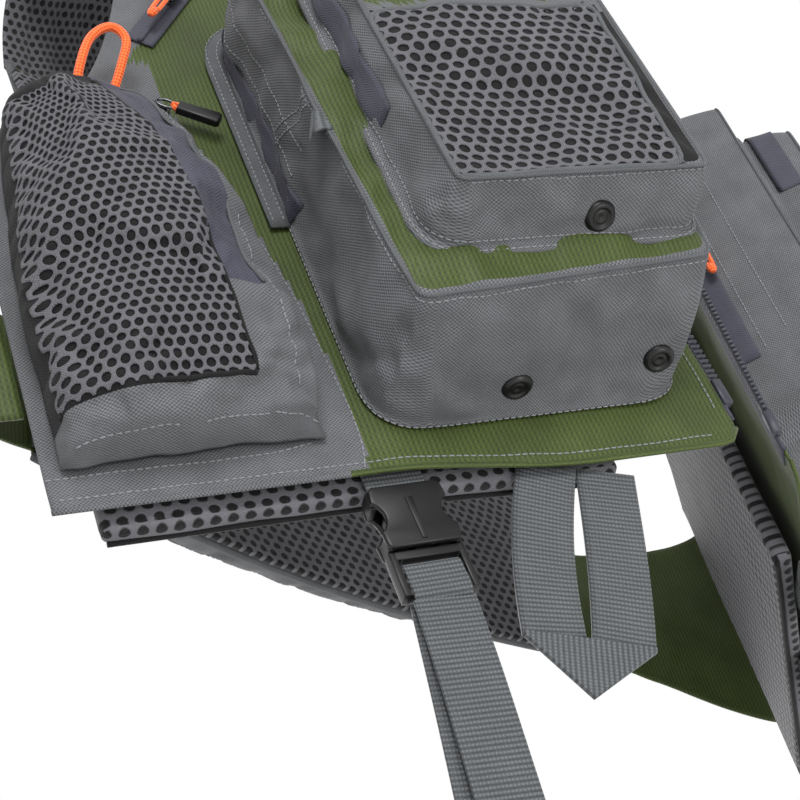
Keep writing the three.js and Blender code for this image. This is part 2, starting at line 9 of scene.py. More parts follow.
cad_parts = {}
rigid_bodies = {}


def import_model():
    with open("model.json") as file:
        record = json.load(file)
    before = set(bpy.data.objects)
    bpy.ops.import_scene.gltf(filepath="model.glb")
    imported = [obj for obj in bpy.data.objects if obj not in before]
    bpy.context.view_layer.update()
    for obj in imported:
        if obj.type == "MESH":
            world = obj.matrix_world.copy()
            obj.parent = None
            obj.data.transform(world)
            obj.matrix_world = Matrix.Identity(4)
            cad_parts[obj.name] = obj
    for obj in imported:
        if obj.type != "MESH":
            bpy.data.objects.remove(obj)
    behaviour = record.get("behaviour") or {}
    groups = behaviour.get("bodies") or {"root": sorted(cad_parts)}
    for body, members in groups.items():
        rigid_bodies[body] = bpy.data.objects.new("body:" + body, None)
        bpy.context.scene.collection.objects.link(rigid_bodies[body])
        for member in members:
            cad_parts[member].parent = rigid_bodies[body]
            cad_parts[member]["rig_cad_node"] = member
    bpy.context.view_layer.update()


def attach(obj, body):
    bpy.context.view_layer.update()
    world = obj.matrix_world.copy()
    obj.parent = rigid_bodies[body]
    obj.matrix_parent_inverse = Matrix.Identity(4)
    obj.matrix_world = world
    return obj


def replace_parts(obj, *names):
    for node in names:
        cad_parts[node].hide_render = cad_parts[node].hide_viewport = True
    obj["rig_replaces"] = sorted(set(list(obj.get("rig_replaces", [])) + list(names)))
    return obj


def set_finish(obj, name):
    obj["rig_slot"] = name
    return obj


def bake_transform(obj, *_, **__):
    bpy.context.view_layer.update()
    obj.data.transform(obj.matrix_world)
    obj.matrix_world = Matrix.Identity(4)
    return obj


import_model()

# The vest is worn upright: +Z up, the front faces -Y, the wearer's right is at -X.
# A front leaf has its own millimetre frame: s along the hem to the zip, t up, n outwards.
leaf = {
    "yaw": 32, "slant": 6, "centreGap": 44, "lead": 152, "hemLevel": -487,
    "side": -131, "edge": 161, "hem": -20, "hemDrop": 9, "hemCorner": 10,
    "thick": 3, "air": 0.4, "underarm": 195, "armholeTop": 290,
    "shoulderOuter": -28, "shoulderInner": 105, "shoulder": 330, "neckline": 245,
}
millimetre = 0.001


def leafToWorld():
    yaw = math.radians(leaf["yaw"])
    slant = math.radians(leaf["slant"])
    along = Vector((math.cos(yaw) * math.cos(slant), -math.sin(yaw) * math.cos(slant), math.sin(slant)))
    outward = Vector((-math.sin(yaw), -math.cos(yaw), 0))
    up = outward.cross(along)
    origin = Vector((-leaf["centreGap"] / 2, -leaf["lead"], 0))
    origin -= along * leaf["edge"]
    origin += up * (leaf["hemDrop"] - leaf["hem"])
    origin.z = leaf["hemLevel"]
    turn = Matrix((along, up, outward)).transposed().to_4x4()
    return Matrix.Scale(millimetre, 4) @ Matrix.Translation(origin) @ turn


onLeaf = leafToWorld()
inWorld = Matrix.Scale(millimetre, 4)
mirrorX = Matrix.Scale(-1, 4, (1, 0, 0))


def lerp(low, high, share):
    return low + (high - low) * share


def smooth(value, low, high):
    share = min(max((value - low) / (high - low), 0), 1)
    return share * share * (3 - 2 * share)


def between(stops, value):
    # stops are (value, result) pairs in rising order.
    for (low, first), (high, second) in zip(stops, stops[1:]):
        if value <= high:
            return lerp(first, second, min(max((value - low) / (high - low), 0), 1))
    return stops[-1][1]


# Camera and light.

camera = {
    "place": (-0.5653, -0.3616, -0.8793), "azimuth": -55.41, "elevation": -38.77,
    "roll": -16.72, "lens": 71.97, "sensor": 36,
}


def makeCamera():
    azimuth = math.radians(camera["azimuth"])
    elevation = math.radians(camera["elevation"])
    back = Vector((
        math.sin(azimuth) * math.cos(elevation),
        -math.cos(azimuth) * math.cos(elevation),
        math.sin(elevation),
    ))
    sideways = Vector((0, 0, 1)).cross(back).normalized()
    turn = Matrix((sideways, back.cross(sideways), back)).transposed().to_4x4()
    eye = bpy.data.cameras.new("viewCamera")
    eye.lens = camera["lens"]
    eye.sensor_width = camera["sensor"]
    eye.clip_start = 0.01
    holder = bpy.data.objects.new("viewCamera", eye)
    holder.matrix_world = (
        Matrix.Translation(camera["place"]) @ turn @ Matrix.Rotation(math.radians(camera["roll"]), 4, "Z")
    )
    bpy.context.scene.collection.objects.link(holder)
    bpy.context.scene.camera = holder


studio = {
    "floorLevel": -1.5, "floorSize": 12, "wallColour": "#ffffff", "worldStrength": 1.0,
    "keyPlace": (-1.5, -1.5, 0.3), "keySize": 0.9, "keyPower": 40,
    "lowPlace": (-0.35, -1.5, -1.3), "lowSize": 0.9, "lowPower": 16,
    "backPlace": (1.4, 1.7, 0.5), "backSize": 1.4, "backPower": 26,
}


def toLinear(hexColour):
    # An sRGB hex colour as the linear colour that a socket takes.
    parts = [int(hexColour[i:i + 2], 16) / 255 for i in (1, 3, 5)]
    return [p / 12.92 if p <= 0.04045 else ((p + 0.055) / 1.055) ** 2.4 for p in parts] + [1]


def addLight(name, place, size, power, target):
    lamp = bpy.data.lights.new(name, "AREA")
    lamp.size = size
    lamp.energy = power
    holder = bpy.data.objects.new(name, lamp)
    aim = Vector(target) - Vector(place)
    holder.matrix_world = Matrix.Translation(place) @ aim.to_track_quat("-Z", "Y").to_matrix().to_4x4()
    bpy.context.scene.collection.objects.link(holder)


def makeStudio():
    centre = (0, 0, -0.4)
    addLight("keyPanel", studio["keyPlace"], studio["keySize"], studio["keyPower"], centre)
    addLight("lowPanel", studio["lowPlace"], studio["lowSize"], studio["lowPower"], centre)
    addLight("rearPanel", studio["backPlace"], studio["backSize"], studio["backPower"], centre)
    bpy.context.scene.view_settings.view_transform = "Standard"
    world = bpy.data.worlds.new("paleRoom")
    bpy.context.scene.world = world
    world.use_nodes = True
    shade = world.node_tree.nodes["Background"]
    shade.inputs["Color"].default_value = toLinear(studio["wallColour"])
    shade.inputs["Strength"].default_value = studio["worldStrength"]
    bm = bmesh.new()
    bmesh.ops.create_grid(bm, x_segments=1, y_segments=1, size=studio["floorSize"] / 2)
    bmesh.ops.translate(bm, verts=bm.verts, vec=(0, 0, studio["floorLevel"]))
    mesh = bpy.data.meshes.new("studioFloor")
    bm.to_mesh(mesh)
    bm.free()
    floor = bpy.data.objects.new("studioFloor", mesh)
    bpy.context.scene.collection.objects.link(floor)
    paper = bpy.data.materials.new("pale matt paper")
    paper.use_nodes = True
    paper.node_tree.nodes["Principled BSDF"].inputs["Base Color"].default_value = toLinear("#f4f4f2")
    paper.node_tree.nodes["Principled BSDF"].inputs["Roughness"].default_value = 0.9
    mesh.materials.append(paper)


makeCamera()
makeStudio()
print("camera and studio are in place")


# Materials.

def addNode(tree, kind, settings=None, links=None):
    # One shader node: settings are attributes or input values, links are input to source socket.
    node = tree.nodes.new("ShaderNode" + kind)
    for key, value in (settings or {}).items():
        if isinstance(key, str) and key[0].islower():
            setattr(node, key, value)
        else:
            node.inputs[key].default_value = value
    for key, source in (links or {}).items():
        tree.links.new(source, node.inputs[key])
    return node


def newMaterial(name, roughness, settings=None):
    # A material with its shader, set to the given roughness and other shader settings.
    material = bpy.data.materials.new(name)
    material.use_nodes = True
    tree = material.node_tree
    shader = tree.nodes["Principled BSDF"]
    shader.inputs["Roughness"].default_value = roughness
    shader.inputs["Specular IOR Level"].default_value = 0.2
    for key, value in (settings or {}).items():
        shader.inputs[key].default_value = value
    return material, tree, shader


def clothPlace(tree):
    return addNode(tree, "TexCoord").outputs["UV"]


def waves(tree, source, acrossPitch, alongPitch):
    # Sines of the two cloth directions, one full wave each pitch in millimetres.
    turns = [2 * math.pi / acrossPitch, 2 * math.pi / alongPitch, 0]
    scaled = addNode(tree, "VectorMath", {"operation": "MULTIPLY", 1: turns}, {0: source})
    sines = addNode(tree, "VectorMath", {"operation": "SINE"}, {0: scaled.outputs[0]})
    parts = addNode(tree, "SeparateXYZ", None, {0: sines.outputs[0]})
    return parts.outputs[0], parts.outputs[1]


def combine(tree, operation, first, second):
    # A Math node on two sources; a number stands for itself.
    node = addNode(tree, "Math", {"operation": operation})
    for slot, source in enumerate((first, second)):
        if isinstance(source, (int, float)):
            node.inputs[slot].default_value = source
        else:
            tree.links.new(source, node.inputs[slot])
    return node.outputs[0]


def mottled(tree, source, size, detail=3):
    # Soft noise whose patches are about size millimetres across.
    return addNode(tree, "TexNoise", {"Scale": 1 / size, "Detail": detail}, {"Vector": source}).outputs[0]


def dressCloth(tree, shader, height, colours, patches, patchGain, relief):
    # Colour from dark to light thread by height, varied in patches, with the height as bump.
    share = addNode(
        tree, "MapRange", {"From Min": -1.0, "From Max": 1.0}, {"Value": height},
    ).outputs[0]
    ramp = addNode(tree, "Mix", {"data_type": "RGBA", "clamp_factor": True}, {"Factor": share})
    ramp.inputs[6].default_value = toLinear(colours[0])
    ramp.inputs[7].default_value = toLinear(colours[1])
    gain = addNode(
        tree, "MapRange",
        {"From Min": 0.3, "From Max": 0.7, "To Min": 1 - patchGain, "To Max": 1 + patchGain},
        {"Value": patches},
    ).outputs[0]
    tint = addNode(
        tree, "VectorMath", {"operation": "SCALE"}, {0: ramp.outputs[2], "Scale": gain},
    ).outputs[0]
    tree.links.new(tint, shader.inputs["Base Color"])
    bump = addNode(tree, "Bump", {"Strength": 0.8, "Distance": relief * millimetre}, {"Height": share})
    tree.links.new(bump.outputs[0], shader.inputs["Normal"])


def oxfordNylon(name, colours, pitch=1.5):
    # Heavy plain-woven nylon: staggered light dots of thread, a dry look with a faint sheen.
    material, tree, shader = newMaterial(name, 0.72, {"Sheen Weight": 0.05, "Sheen Roughness": 0.5})
    place = clothPlace(tree)
    wander = mottled(tree, place, 6)
    shifted = addNode(tree, "VectorMath", {"operation": "ADD"}, {0: place, 1: wander}).outputs[0]
    across, along = waves(tree, shifted, pitch * 1.25, pitch)
    dots = combine(tree, "MULTIPLY", across, along)
    fibre = combine(tree, "MULTIPLY", mottled(tree, place, 0.7, 2), 1.2)
    height = combine(tree, "ADD", combine(tree, "MULTIPLY", dots, 0.85),
                     combine(tree, "SUBTRACT", fibre, 0.6))
    dressCloth(tree, shader, height, colours, mottled(tree, place, 18), 0.14, 0.35)
    return material


def ribbedNylon(name, colours):
    # Light olive nylon with a fine upright rib and small crosswise steps, a little silky.
    material, tree, shader = newMaterial(name, 0.55, {"Sheen Weight": 0.07, "Sheen Roughness": 0.4})
    place = clothPlace(tree)
    wander = mottled(tree, place, 9)
    shifted = addNode(tree, "VectorMath", {"operation": "ADD"}, {0: place, 1: wander}).outputs[0]
    across, along = waves(tree, shifted, 2.3, 2.9)
    steps = combine(tree, "MULTIPLY", along, across)
    ribs = combine(tree, "ADD", combine(tree, "MULTIPLY", across, 0.45),
                   combine(tree, "MULTIPLY", steps, 0.35))
    height = combine(tree, "ADD", ribs, combine(tree, "SUBTRACT", mottled(tree, place, 1.2), 0.5))
    dressCloth(tree, shader, height, colours, mottled(tree, place, 30), 0.16, 0.22)
    return material


def herringboneTape(name, colours):
    # Polyester zip tape: slate yarn in a small zigzag twill, smooth and slightly glossy.
    material, tree, shader = newMaterial(name, 0.6, {"Sheen Weight": 0.05})
    place = clothPlace(tree)
    parts = addNode(tree, "SeparateXYZ", None, {0: place})
    fold = combine(tree, "PINGPONG", parts.outputs[0], 2.6)
    phase = combine(tree, "MULTIPLY", combine(tree, "ADD", parts.outputs[1], fold), 2 * math.pi / 1.5)
    height = combine(tree, "MULTIPLY", combine(tree, "SINE", phase, 0), 0.7)
    dressCloth(tree, shader, height, colours, mottled(tree, place, 14), 0.1, 0.2)
    return material


def strapWebbing(name, colours):
    # Polypropylene webbing: thick cross ribs of short, shiny yarn floats.
    material, tree, shader = newMaterial(name, 0.5, {"Sheen Weight": 0.1})
    place = clothPlace(tree)
    across, along = waves(tree, place, 1.5, 2.1)
    floats = combine(tree, "MULTIPLY", across, combine(tree, "ADD", along, 1))
    height = combine(tree, "ADD", combine(tree, "MULTIPLY", along, 0.6),
                     combine(tree, "MULTIPLY", floats, 0.25))
    rough = combine(tree, "ADD", height, combine(tree, "SUBTRACT", mottled(tree, place, 0.9), 0.5))
    dressCloth(tree, shader, rough, colours, mottled(tree, place, 25), 0.1, 0.5)
    return material


def knittedStrand(name, colours):
    # Warp-knitted polyester yarn around each hole of the spacer mesh: soft grey loops.
    material, tree, shader = newMaterial(name, 0.7, {"Sheen Weight": 0.05})
    place = clothPlace(tree)
    across, along = waves(tree, place, 0.95, 1.3)
    loops = combine(tree, "MULTIPLY", across, along)
    height = combine(tree, "ADD", combine(tree, "MULTIPLY", loops, 0.5),
                     combine(tree, "MULTIPLY", combine(tree, "SUBTRACT", mottled(tree, place, 0.8), 0.5), 1.6))
    dressCloth(tree, shader, height, colours, mottled(tree, place, 20), 0.12, 0.3)
    return material


def spacerLining(name, colours, pitch=7.0):
    # Spacer mesh seen flat: staggered round holes that fall to a black inside.
    material, tree, shader = newMaterial(name, 0.75, {"Sheen Weight": 0.1})
    place = clothPlace(tree)
    rows = pitch * math.sqrt(3) * 0.92
    holes = []
    for shift in ((0, 0, 0), (pitch / 2, rows / 2, 0)):
        moved = addNode(tree, "VectorMath", {"operation": "ADD", 1: shift}, {0: place}).outputs[0]
        cell = addNode(tree, "VectorMath", {"operation": "WRAP", 1: (pitch / 2, rows / 2, 1),
                                            2: (-pitch / 2, -rows / 2, -1)}, {0: moved}).outputs[0]
        flat = addNode(tree, "VectorMath", {"operation": "MULTIPLY", 1: (1, 1.15, 0)}, {0: cell}).outputs[0]
        holes.append(addNode(tree, "VectorMath", {"operation": "LENGTH"}, {0: flat}).outputs["Value"])
    nearest = combine(tree, "MINIMUM", holes[0], holes[1])
    rim = addNode(tree, "MapRange", {"interpolation_type": "SMOOTHSTEP", "From Min": 1.9, "From Max": 2.6,
                                     "To Min": -1.0, "To Max": 0.55}, {"Value": nearest}).outputs[0]
    yarn = combine(tree, "MULTIPLY", combine(tree, "SUBTRACT", mottled(tree, place, 0.8), 0.5), 0.9)
    height = combine(tree, "ADD", rim, yarn)
    dressCloth(tree, shader, height, colours, mottled(tree, place, 20), 0.1, 1.2)
    return material


def braidedCord(name, colours):
    # Braided polyester cord: bright strands that cross on the slant.
    material, tree, shader = newMaterial(name, 0.6, {"Sheen Weight": 0.2})
    place = clothPlace(tree)
    turned = addNode(tree, "VectorRotate", {"rotation_type": "Z_AXIS", "Angle": math.radians(45)},
                     {"Vector": place}).outputs[0]
    across, along = waves(tree, turned, 2.4, 2.4)
    height = combine(tree, "ADD", combine(tree, "MULTIPLY", across, along),
                     combine(tree, "SUBTRACT", mottled(tree, place, 0.7), 0.5))
    dressCloth(tree, shader, height, colours, mottled(tree, place, 12), 0.08, 0.5)
    return material


def mouldedAcetal(name, colour, roughness):
    # Injection-moulded acetal: near black, satin, with a faint orange-peel skin.
    material, tree, shader = newMaterial(name, roughness, {"IOR": 1.48, "Specular IOR Level": 0.35})
    place = addNode(tree, "TexCoord").outputs["Object"]
    grain = addNode(tree, "TexNoise", {"Scale": 1400.0, "Detail": 2.0}, {"Vector": place}).outputs[0]
    worn = addNode(tree, "TexNoise", {"Scale": 90.0, "Detail": 4.0}, {"Vector": place}).outputs[0]
    gloss = addNode(tree, "MapRange", {"To Min": roughness - 0.1, "To Max": roughness + 0.14}, {"Value": worn})
    tree.links.new(gloss.outputs[0], shader.inputs["Roughness"])
    tone = addNode(tree, "Mix", {"data_type": "RGBA"}, {"Factor": worn})
    tone.inputs[6].default_value = toLinear(colour)
    tone.inputs[7].default_value = [c * 1.5 for c in toLinear(colour)[:3]] + [1]
    tree.links.new(tone.outputs[2], shader.inputs["Base Color"])
    bump = addNode(tree, "Bump", {"Strength": 0.25, "Distance": 0.0001}, {"Height": grain})
    tree.links.new(bump.outputs[0], shader.inputs["Normal"])
    return material


def darkNickel(name):
    # Black-nickel plated zinc: dark mirror, rubbed a little brighter in patches.
    material, tree, shader = newMaterial(name, 0.24, {"Metallic": 1.0, "Specular IOR Level": 0.5})
    place = addNode(tree, "TexCoord").outputs["Object"]
    rubbed = addNode(tree, "TexNoise", {"Scale": 260.0, "Detail": 5.0}, {"Vector": place}).outputs[0]
    gloss = addNode(tree, "MapRange", {"To Min": 0.16, "To Max": 0.38}, {"Value": rubbed})
    tree.links.new(gloss.outputs[0], shader.inputs["Roughness"])
    tone = addNode(tree, "Mix", {"data_type": "RGBA"}, {"Factor": rubbed})
    tone.inputs[6].default_value = toLinear("#3f4044")
    tone.inputs[7].default_value = toLinear("#66666a")
    tree.links.new(tone.outputs[2], shader.inputs["Base Color"])
    return material


def spunThread(name, colours):
    # Bonded polyester sewing thread: pale, round and slightly twisted.
    material, tree, shader = newMaterial(name, 0.6)
    place = addNode(tree, "TexCoord").outputs["Object"]
    twist = addNode(tree, "TexNoise", {"Scale": 900.0, "Detail": 1.0}, {"Vector": place}).outputs[0]
    tone = addNode(tree, "Mix", {"data_type": "RGBA"}, {"Factor": twist})
    tone.inputs[6].default_value = toLinear(colours[0])
    tone.inputs[7].default_value = toLinear(colours[1])
    tree.links.new(tone.outputs[2], shader.inputs["Base Color"])
    return material


olive = ribbedNylon("olive ribbed nylon", ("#222a12", "#434f24"))
grey = oxfordNylon("grey oxford nylon", ("#2d2e31", "#68696c"))
bindingTape = oxfordNylon("grey grosgrain binding", ("#2a2c2e", "#5f6164"), 1.1)
strand = knittedStrand("knitted spacer mesh", ("#27272b", "#67676c"))
meshInside = oxfordNylon("black inner cloth", ("#030304", "#0a0a0c"), 1.2)
lining = spacerLining("spacer mesh lining", ("#040405", "#626267"))
tape = herringboneTape("slate zip tape", ("#262630", "#484854"))
webbing = strapWebbing("grey strap webbing", ("#1f2123", "#5b5e61"))
cordBraid = braidedCord("orange braided cord", ("#b03a12", "#ff7430"))
acetal = mouldedAcetal("black moulded acetal", "#070707", 0.38)
toothPlastic = mouldedAcetal("slate moulded teeth", "#2b2c33", 0.42)
nickel = darkNickel("dark nickel plate")
thread = spunThread("pale grey thread", ("#5c5e61", "#888a8d"))
print("materials are ready")


# Making pieces.

def gridShape(cols, rows, place, paint=None, flat=(), closed=False):
    # A grid whose points are placed by two shares, its cloth position measured along it.
    # paint gives a face's material index; faces in the flat list lie to (s, t) instead.
    bm = bmesh.new()
    layer = bm.loops.layers.uv.new("UVMap")
    bmesh.ops.create_grid(bm, x_segments=cols, y_segments=rows, size=0.5)
    spots = {}
    for vert in bm.verts:
        i = round((vert.co.x + 0.5) * cols)
        j = round((vert.co.y + 0.5) * rows)
        spots[vert] = (i, j, Vector(place(i / cols, j / rows)))
    middleRow = rows // 2
    middleCol = cols // 2
    alongRow = {i: at for i, j, at in spots.values() if j == middleRow}
    alongCol = {j: at for i, j, at in spots.values() if i == middleCol}
    across = [0.0]
    for i in range(cols):
        across.append(across[-1] + (alongRow[i + 1] - alongRow[i]).length)
    upward = [0.0]
    for j in range(rows):
        upward.append(upward[-1] + (alongCol[j + 1] - alongCol[j]).length)
    for face in bm.faces:
        middle = [sum(spots[v][k] for v in face.verts) / len(face.verts) for k in (0, 1)]
        if paint:
            face.material_index = paint(middle[0] / cols, middle[1] / rows)
        for loop in face.loops:
            i, j, at = spots[loop.vert]
            planar = face.material_index in flat
            loop[layer].uv = (at.x, at.y) if planar else (across[i], upward[j])
    for vert, (i, j, at) in spots.items():
        vert.co = at
    if closed:
        bmesh.ops.remove_doubles(bm, verts=bm.verts, dist=0.01)
    return bm


def finishPiece(name, bm, materials, body, slot, matrix=onLeaf, turnOut=False, angle=None):
    # Puts a millimetre shape into the world as a piece that rides on a body.
    if turnOut:
        bmesh.ops.recalc_face_normals(bm, faces=bm.faces)
    bm.transform(matrix)
    mesh = bpy.data.meshes.new(name)
    bm.to_mesh(mesh)
    bm.free()
    return dressPiece(name, mesh, materials, body, slot, angle)


def dressPiece(name, mesh, materials, body, slot, angle=None):
    for material in materials:
        mesh.materials.append(material)
    mesh.shade_smooth()
    if angle:
        mesh.set_sharp_from_angle(angle=math.radians(angle))
    piece = bpy.data.objects.new(name, mesh)
    bpy.context.scene.collection.objects.link(piece)
    if body:
        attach(piece, body)
    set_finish(piece, slot)
    return piece


def other(name):
    # The left-hand name of a right-hand piece, node or body.
    if name.startswith("right"):
        return "left" + name[len("right"):]
    return name.replace("_R_", "_L_") if "_R_" in name else name[:-1] + "L"


def mirrored(piece, body, stands=()):
    # The left-hand copy of a right-hand piece.
    mesh = piece.data.copy()
    mesh.transform(mirrorX)
    mesh.flip_normals()
    copy = bpy.data.objects.new(other(piece.name), mesh)
    bpy.context.scene.collection.objects.link(copy)
    for live in piece.modifiers:
        same = copy.modifiers.new(live.name, live.type)
        for key in ("thickness", "offset", "levels", "render_levels", "width", "segments"):
            if hasattr(live, key):
                setattr(same, key, getattr(live, key))
    if body:
        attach(copy, body)
    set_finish(copy, piece["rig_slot"])
    if stands:
        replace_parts(copy, *stands)
    return copy


def applyModifiers(piece):
    # Bakes a piece's modifiers into its mesh.
    graph = bpy.context.evaluated_depsgraph_get()
    baked = bpy.data.meshes.new_from_object(piece.evaluated_get(graph), depsgraph=graph)
    piece.modifiers.clear()
    piece.data = baked
    return piece


def subdivide(piece, levels=1):
    finer = piece.modifiers.new("Subdivision", "SUBSURF")
    finer.levels = levels
    finer.render_levels = levels
    return piece


def thicken(piece, thickness, offset=-1):
    wall = piece.modifiers.new("Solidify", "SOLIDIFY")
    wall.thickness = thickness * millimetre
    wall.offset = offset
    return piece


def settleCloth(piece, pinned, growth=0.03, pressure=0.6, frames=14, cap=4, stiffness=12):
    # Cloth simulation that lets a sewn panel pucker: pinned points stay, and none moves past cap mm.
    rest = [v.co.copy() for v in piece.data.vertices]
    group = piece.vertex_groups.new(name="pinned")
    group.add([v.index for v in piece.data.vertices if pinned(v)], 1.0, "REPLACE")
    cloth = piece.modifiers.new("Cloth", "CLOTH")
    cloth.settings.vertex_group_mass = "pinned"
    cloth.settings.quality = 5
    cloth.settings.mass = 0.05
    cloth.settings.tension_stiffness = stiffness
    cloth.settings.compression_stiffness = stiffness
    cloth.settings.shear_stiffness = stiffness / 3
    cloth.settings.bending_stiffness = 0.05
    cloth.settings.shrink_min = -growth
    cloth.settings.shrink_max = -growth
    cloth.settings.use_pressure = True
    cloth.settings.uniform_pressure_force = pressure
    cloth.settings.effector_weights.gravity = 0
    cloth.collision_settings.use_collision = False
    scene = bpy.context.scene
    for step in range(1, frames + 1):
        scene.frame_set(step)
    graph = bpy.context.evaluated_depsgraph_get()
    moved = [v.co.copy() for v in piece.evaluated_get(graph).data.vertices]
    piece.modifiers.remove(cloth)
    piece.vertex_groups.remove(group)
    scene.frame_set(1)
    for vert, start, end in zip(piece.data.vertices, rest, moved):
        step = end - start
        if step.length > cap * millimetre:
            step *= cap * millimetre / step.length
        vert.co = start + step
    piece.data.update()
    return piece


def crumple(bm, size, depth, share=None, seed=0.0):
    # Pushes points along their normals by soft noise; share weighs each point.
    bm.normal_update()
    for vert in bm.verts:
        weight = share(vert.co) if share else 1
        if weight:
            near = noise.noise(vert.co / size + Vector((seed, 0, 0)))
            fine = noise.noise(vert.co / (size * 0.43) + Vector((0, seed, 3)))
            vert.co += vert.normal * (near + 0.45 * fine) * depth * weight


def ribbon(points, faces, width, thick, cols=2):
    # A strip of cloth that follows points; faces are the directions that it faces.
    count = len(points)

    def place(a, b):
        i = round(b * (count - 1))
        before = points[max(i - 1, 0)]
        after = points[min(i + 1, count - 1)]
        sideways = (after - before).cross(faces[i]).normalized()
        return points[i] + sideways * (a - 0.5) * width

    bm = gridShape(cols, count - 1, place)
    bmesh.ops.solidify(bm, geom=bm.faces[:], thickness=thick)
    return bm


def tube(points, radius, sides=10, flatten=1.0, face=Vector((0, 0, 1)), closed=False):
    # A round or flattened tube through points, closed at its ends.
    count = len(points)
    rings = []
    for i, point in enumerate(points):
        before = points[(i - 1) % count] if closed else points[max(i - 1, 0)]
        after = points[(i + 1) % count] if closed else points[min(i + 1, count - 1)]
        ahead = (after - before).normalized()
        sideways = ahead.cross(face).normalized()
        if sideways.length < 0.5:
            sideways = ahead.orthogonal().normalized()
        rings.append((point, sideways, sideways.cross(ahead)))

    def place(a, b):
        point, sideways, upwards = rings[round(b * (len(rings) - 1))]
        angle = -2 * math.pi * a
        size = radius(b) if callable(radius) else radius
        return point + sideways * math.cos(angle) * size + upwards * math.sin(angle) * size * flatten

    if closed:
        rings.append(rings[0])
    bm = gridShape(sides, len(rings) - 1, place, closed=True)
    if not closed:
        bmesh.ops.holes_fill(bm, edges=bm.edges, sides=sides + 2)
    bmesh.ops.recalc_face_normals(bm, faces=bm.faces)
    return bm


def curveThrough(stops, count):
    # A smooth run of count points through stops (Catmull-Rom).
    spots = [Vector(p) for p in stops]
    spots = [spots[0] * 2 - spots[1]] + spots + [spots[-1] * 2 - spots[-2]]
    result = []
    spans = len(spots) - 3
    for k in range(count):
        where = k / (count - 1) * spans
        i = min(int(where), spans - 1)
        x = where - i
        p0, p1, p2, p3 = spots[i:i + 4]
        result.append(0.5 * (
            2 * p1 + (p2 - p0) * x + (2 * p0 - 5 * p1 + 4 * p2 - p3) * x * x
            + (3 * p1 - p0 - 3 * p2 + p3) * x ** 3
        ))
    return result


def bodyOf(shape, extra):
    # Adds one bmesh's faces to another.
    mesh = bpy.data.meshes.new("joining")
    extra.to_mesh(mesh)
    extra.free()
    shape.from_mesh(mesh)
    bpy.data.meshes.remove(mesh)
    return shape


class Surface:
    # A piece's surface in leaf millimetres, for laying things on it.

    def __init__(self, piece, matrix=onLeaf):
        self.back = matrix.inverted()
        graph = bpy.context.evaluated_depsgraph_get()
        mesh = piece.evaluated_get(graph).to_mesh()
        points = [self.back @ v.co for v in mesh.vertices]
        self.tree = BVHTree.FromPolygons(points, [p.vertices[:] for p in mesh.polygons])

    def nearest(self, point):
        spot, normal, _, _ = self.tree.find_nearest(Vector(point))
        return spot, normal

    def ahead(self, point, direction):
        spot, normal, _, _ = self.tree.ray_cast(Vector(point), Vector(direction))
        return (spot, normal) if spot else self.nearest(point)


stitch = {"pitch": 3.1, "long": 2.2, "wide": 0.55, "high": 0.4}
stitchRuns = []           # (surface, points) pairs, sewn together at the end


def sew(surface, points):
    stitchRuns.append((surface, [Vector(p) for p in points]))


def sewnThread(name, body, matrix=onLeaf):
    # All the stitches so far as one piece: a short bar of thread every pitch along each run.
    bm = bmesh.new()
    for surface, points in stitchRuns:
        lengths = [(b - a).length for a, b in zip(points, points[1:])]
        total = sum(lengths)
        for k in range(int(total / stitch["pitch"])):
            where = (k + 0.5) * stitch["pitch"]
            i = 0
            while where > lengths[i] and i < len(lengths) - 1:
                where -= lengths[i]
                i += 1
            spot, normal = surface.nearest(points[i].lerp(points[i + 1], where / lengths[i]))
            ahead = (points[i + 1] - points[i]).normalized()
            side = ahead.cross(normal)
            if side.length < 0.1:
                continue
            side.normalize()
            turn = Matrix((side.cross(normal) * -1, side, normal)).transposed().to_4x4()
            size = Matrix.Diagonal((stitch["long"], stitch["wide"], stitch["high"], 1))
            bmesh.ops.create_cube(bm, size=1, matrix=Matrix.Translation(spot + normal * 0.12) @ turn @ size)
    stitchRuns.clear()
    return finishPiece(name, bm, [thread], body, "zip_tape", matrix=matrix, turnOut=True)


# Outlines are four corners with a radius each; a share of 1 goes once round them.
def roundOutline(corners, radii, share, cornerPart=0.28):
    quarter = (share % 1) * 4
    k = int(quarter) % 4
    x = quarter - int(quarter)
    start = Vector(corners[k])
    end = Vector(corners[(k + 1) % 4])
    after = Vector(corners[(k + 2) % 4])
    leave = start + (end - start).normalized() * radii[k]
    arrive = end - (end - start).normalized() * radii[(k + 1) % 4]
    turnTo = end + (after - end).normalized() * radii[(k + 1) % 4]
    if x < 1 - cornerPart:
        return leave.lerp(arrive, x / (1 - cornerPart))
    y = (x - 1 + cornerPart) / cornerPart
    return arrive.lerp(end, y).lerp(end.lerp(turnTo, y), y)


def widened(corners, by):
    # The four corners (low left, low right, high right, high left) moved outwards by a distance.
    signs = ((-1, -1), (1, -1), (1, 1), (-1, 1))
    return [(x + sx * by, y + sy * by) for (x, y), (sx, sy) in zip(corners, signs)]


def ringsBetween(first, last, count, bulge=0.0):
    # Rings (corners, radii, depth) from first to last, without the first.
    made = []
    for k in range(1, count + 1):
        x = k / count
        out = bulge * math.sin(math.pi * x)
        corners = [tuple(Vector(a).lerp(Vector(b), x)) for a, b in zip(first[0], last[0])]
        radii = [lerp(a, b, x) for a, b in zip(first[1], last[1])]
        made.append((widened(corners, out), radii, lerp(first[2], last[2], x)))
    return made


def ringShape(rings, cols, paint=None, flat=()):
    def place(a, b):
        corners, radii, depth = rings[round(b * (len(rings) - 1))]
        at = roundOutline(corners, radii, a)
        return Vector((at.x, at.y, depth))

    return gridShape(cols, len(rings) - 1, place, paint=paint, flat=flat, closed=True)


# The front leaf.

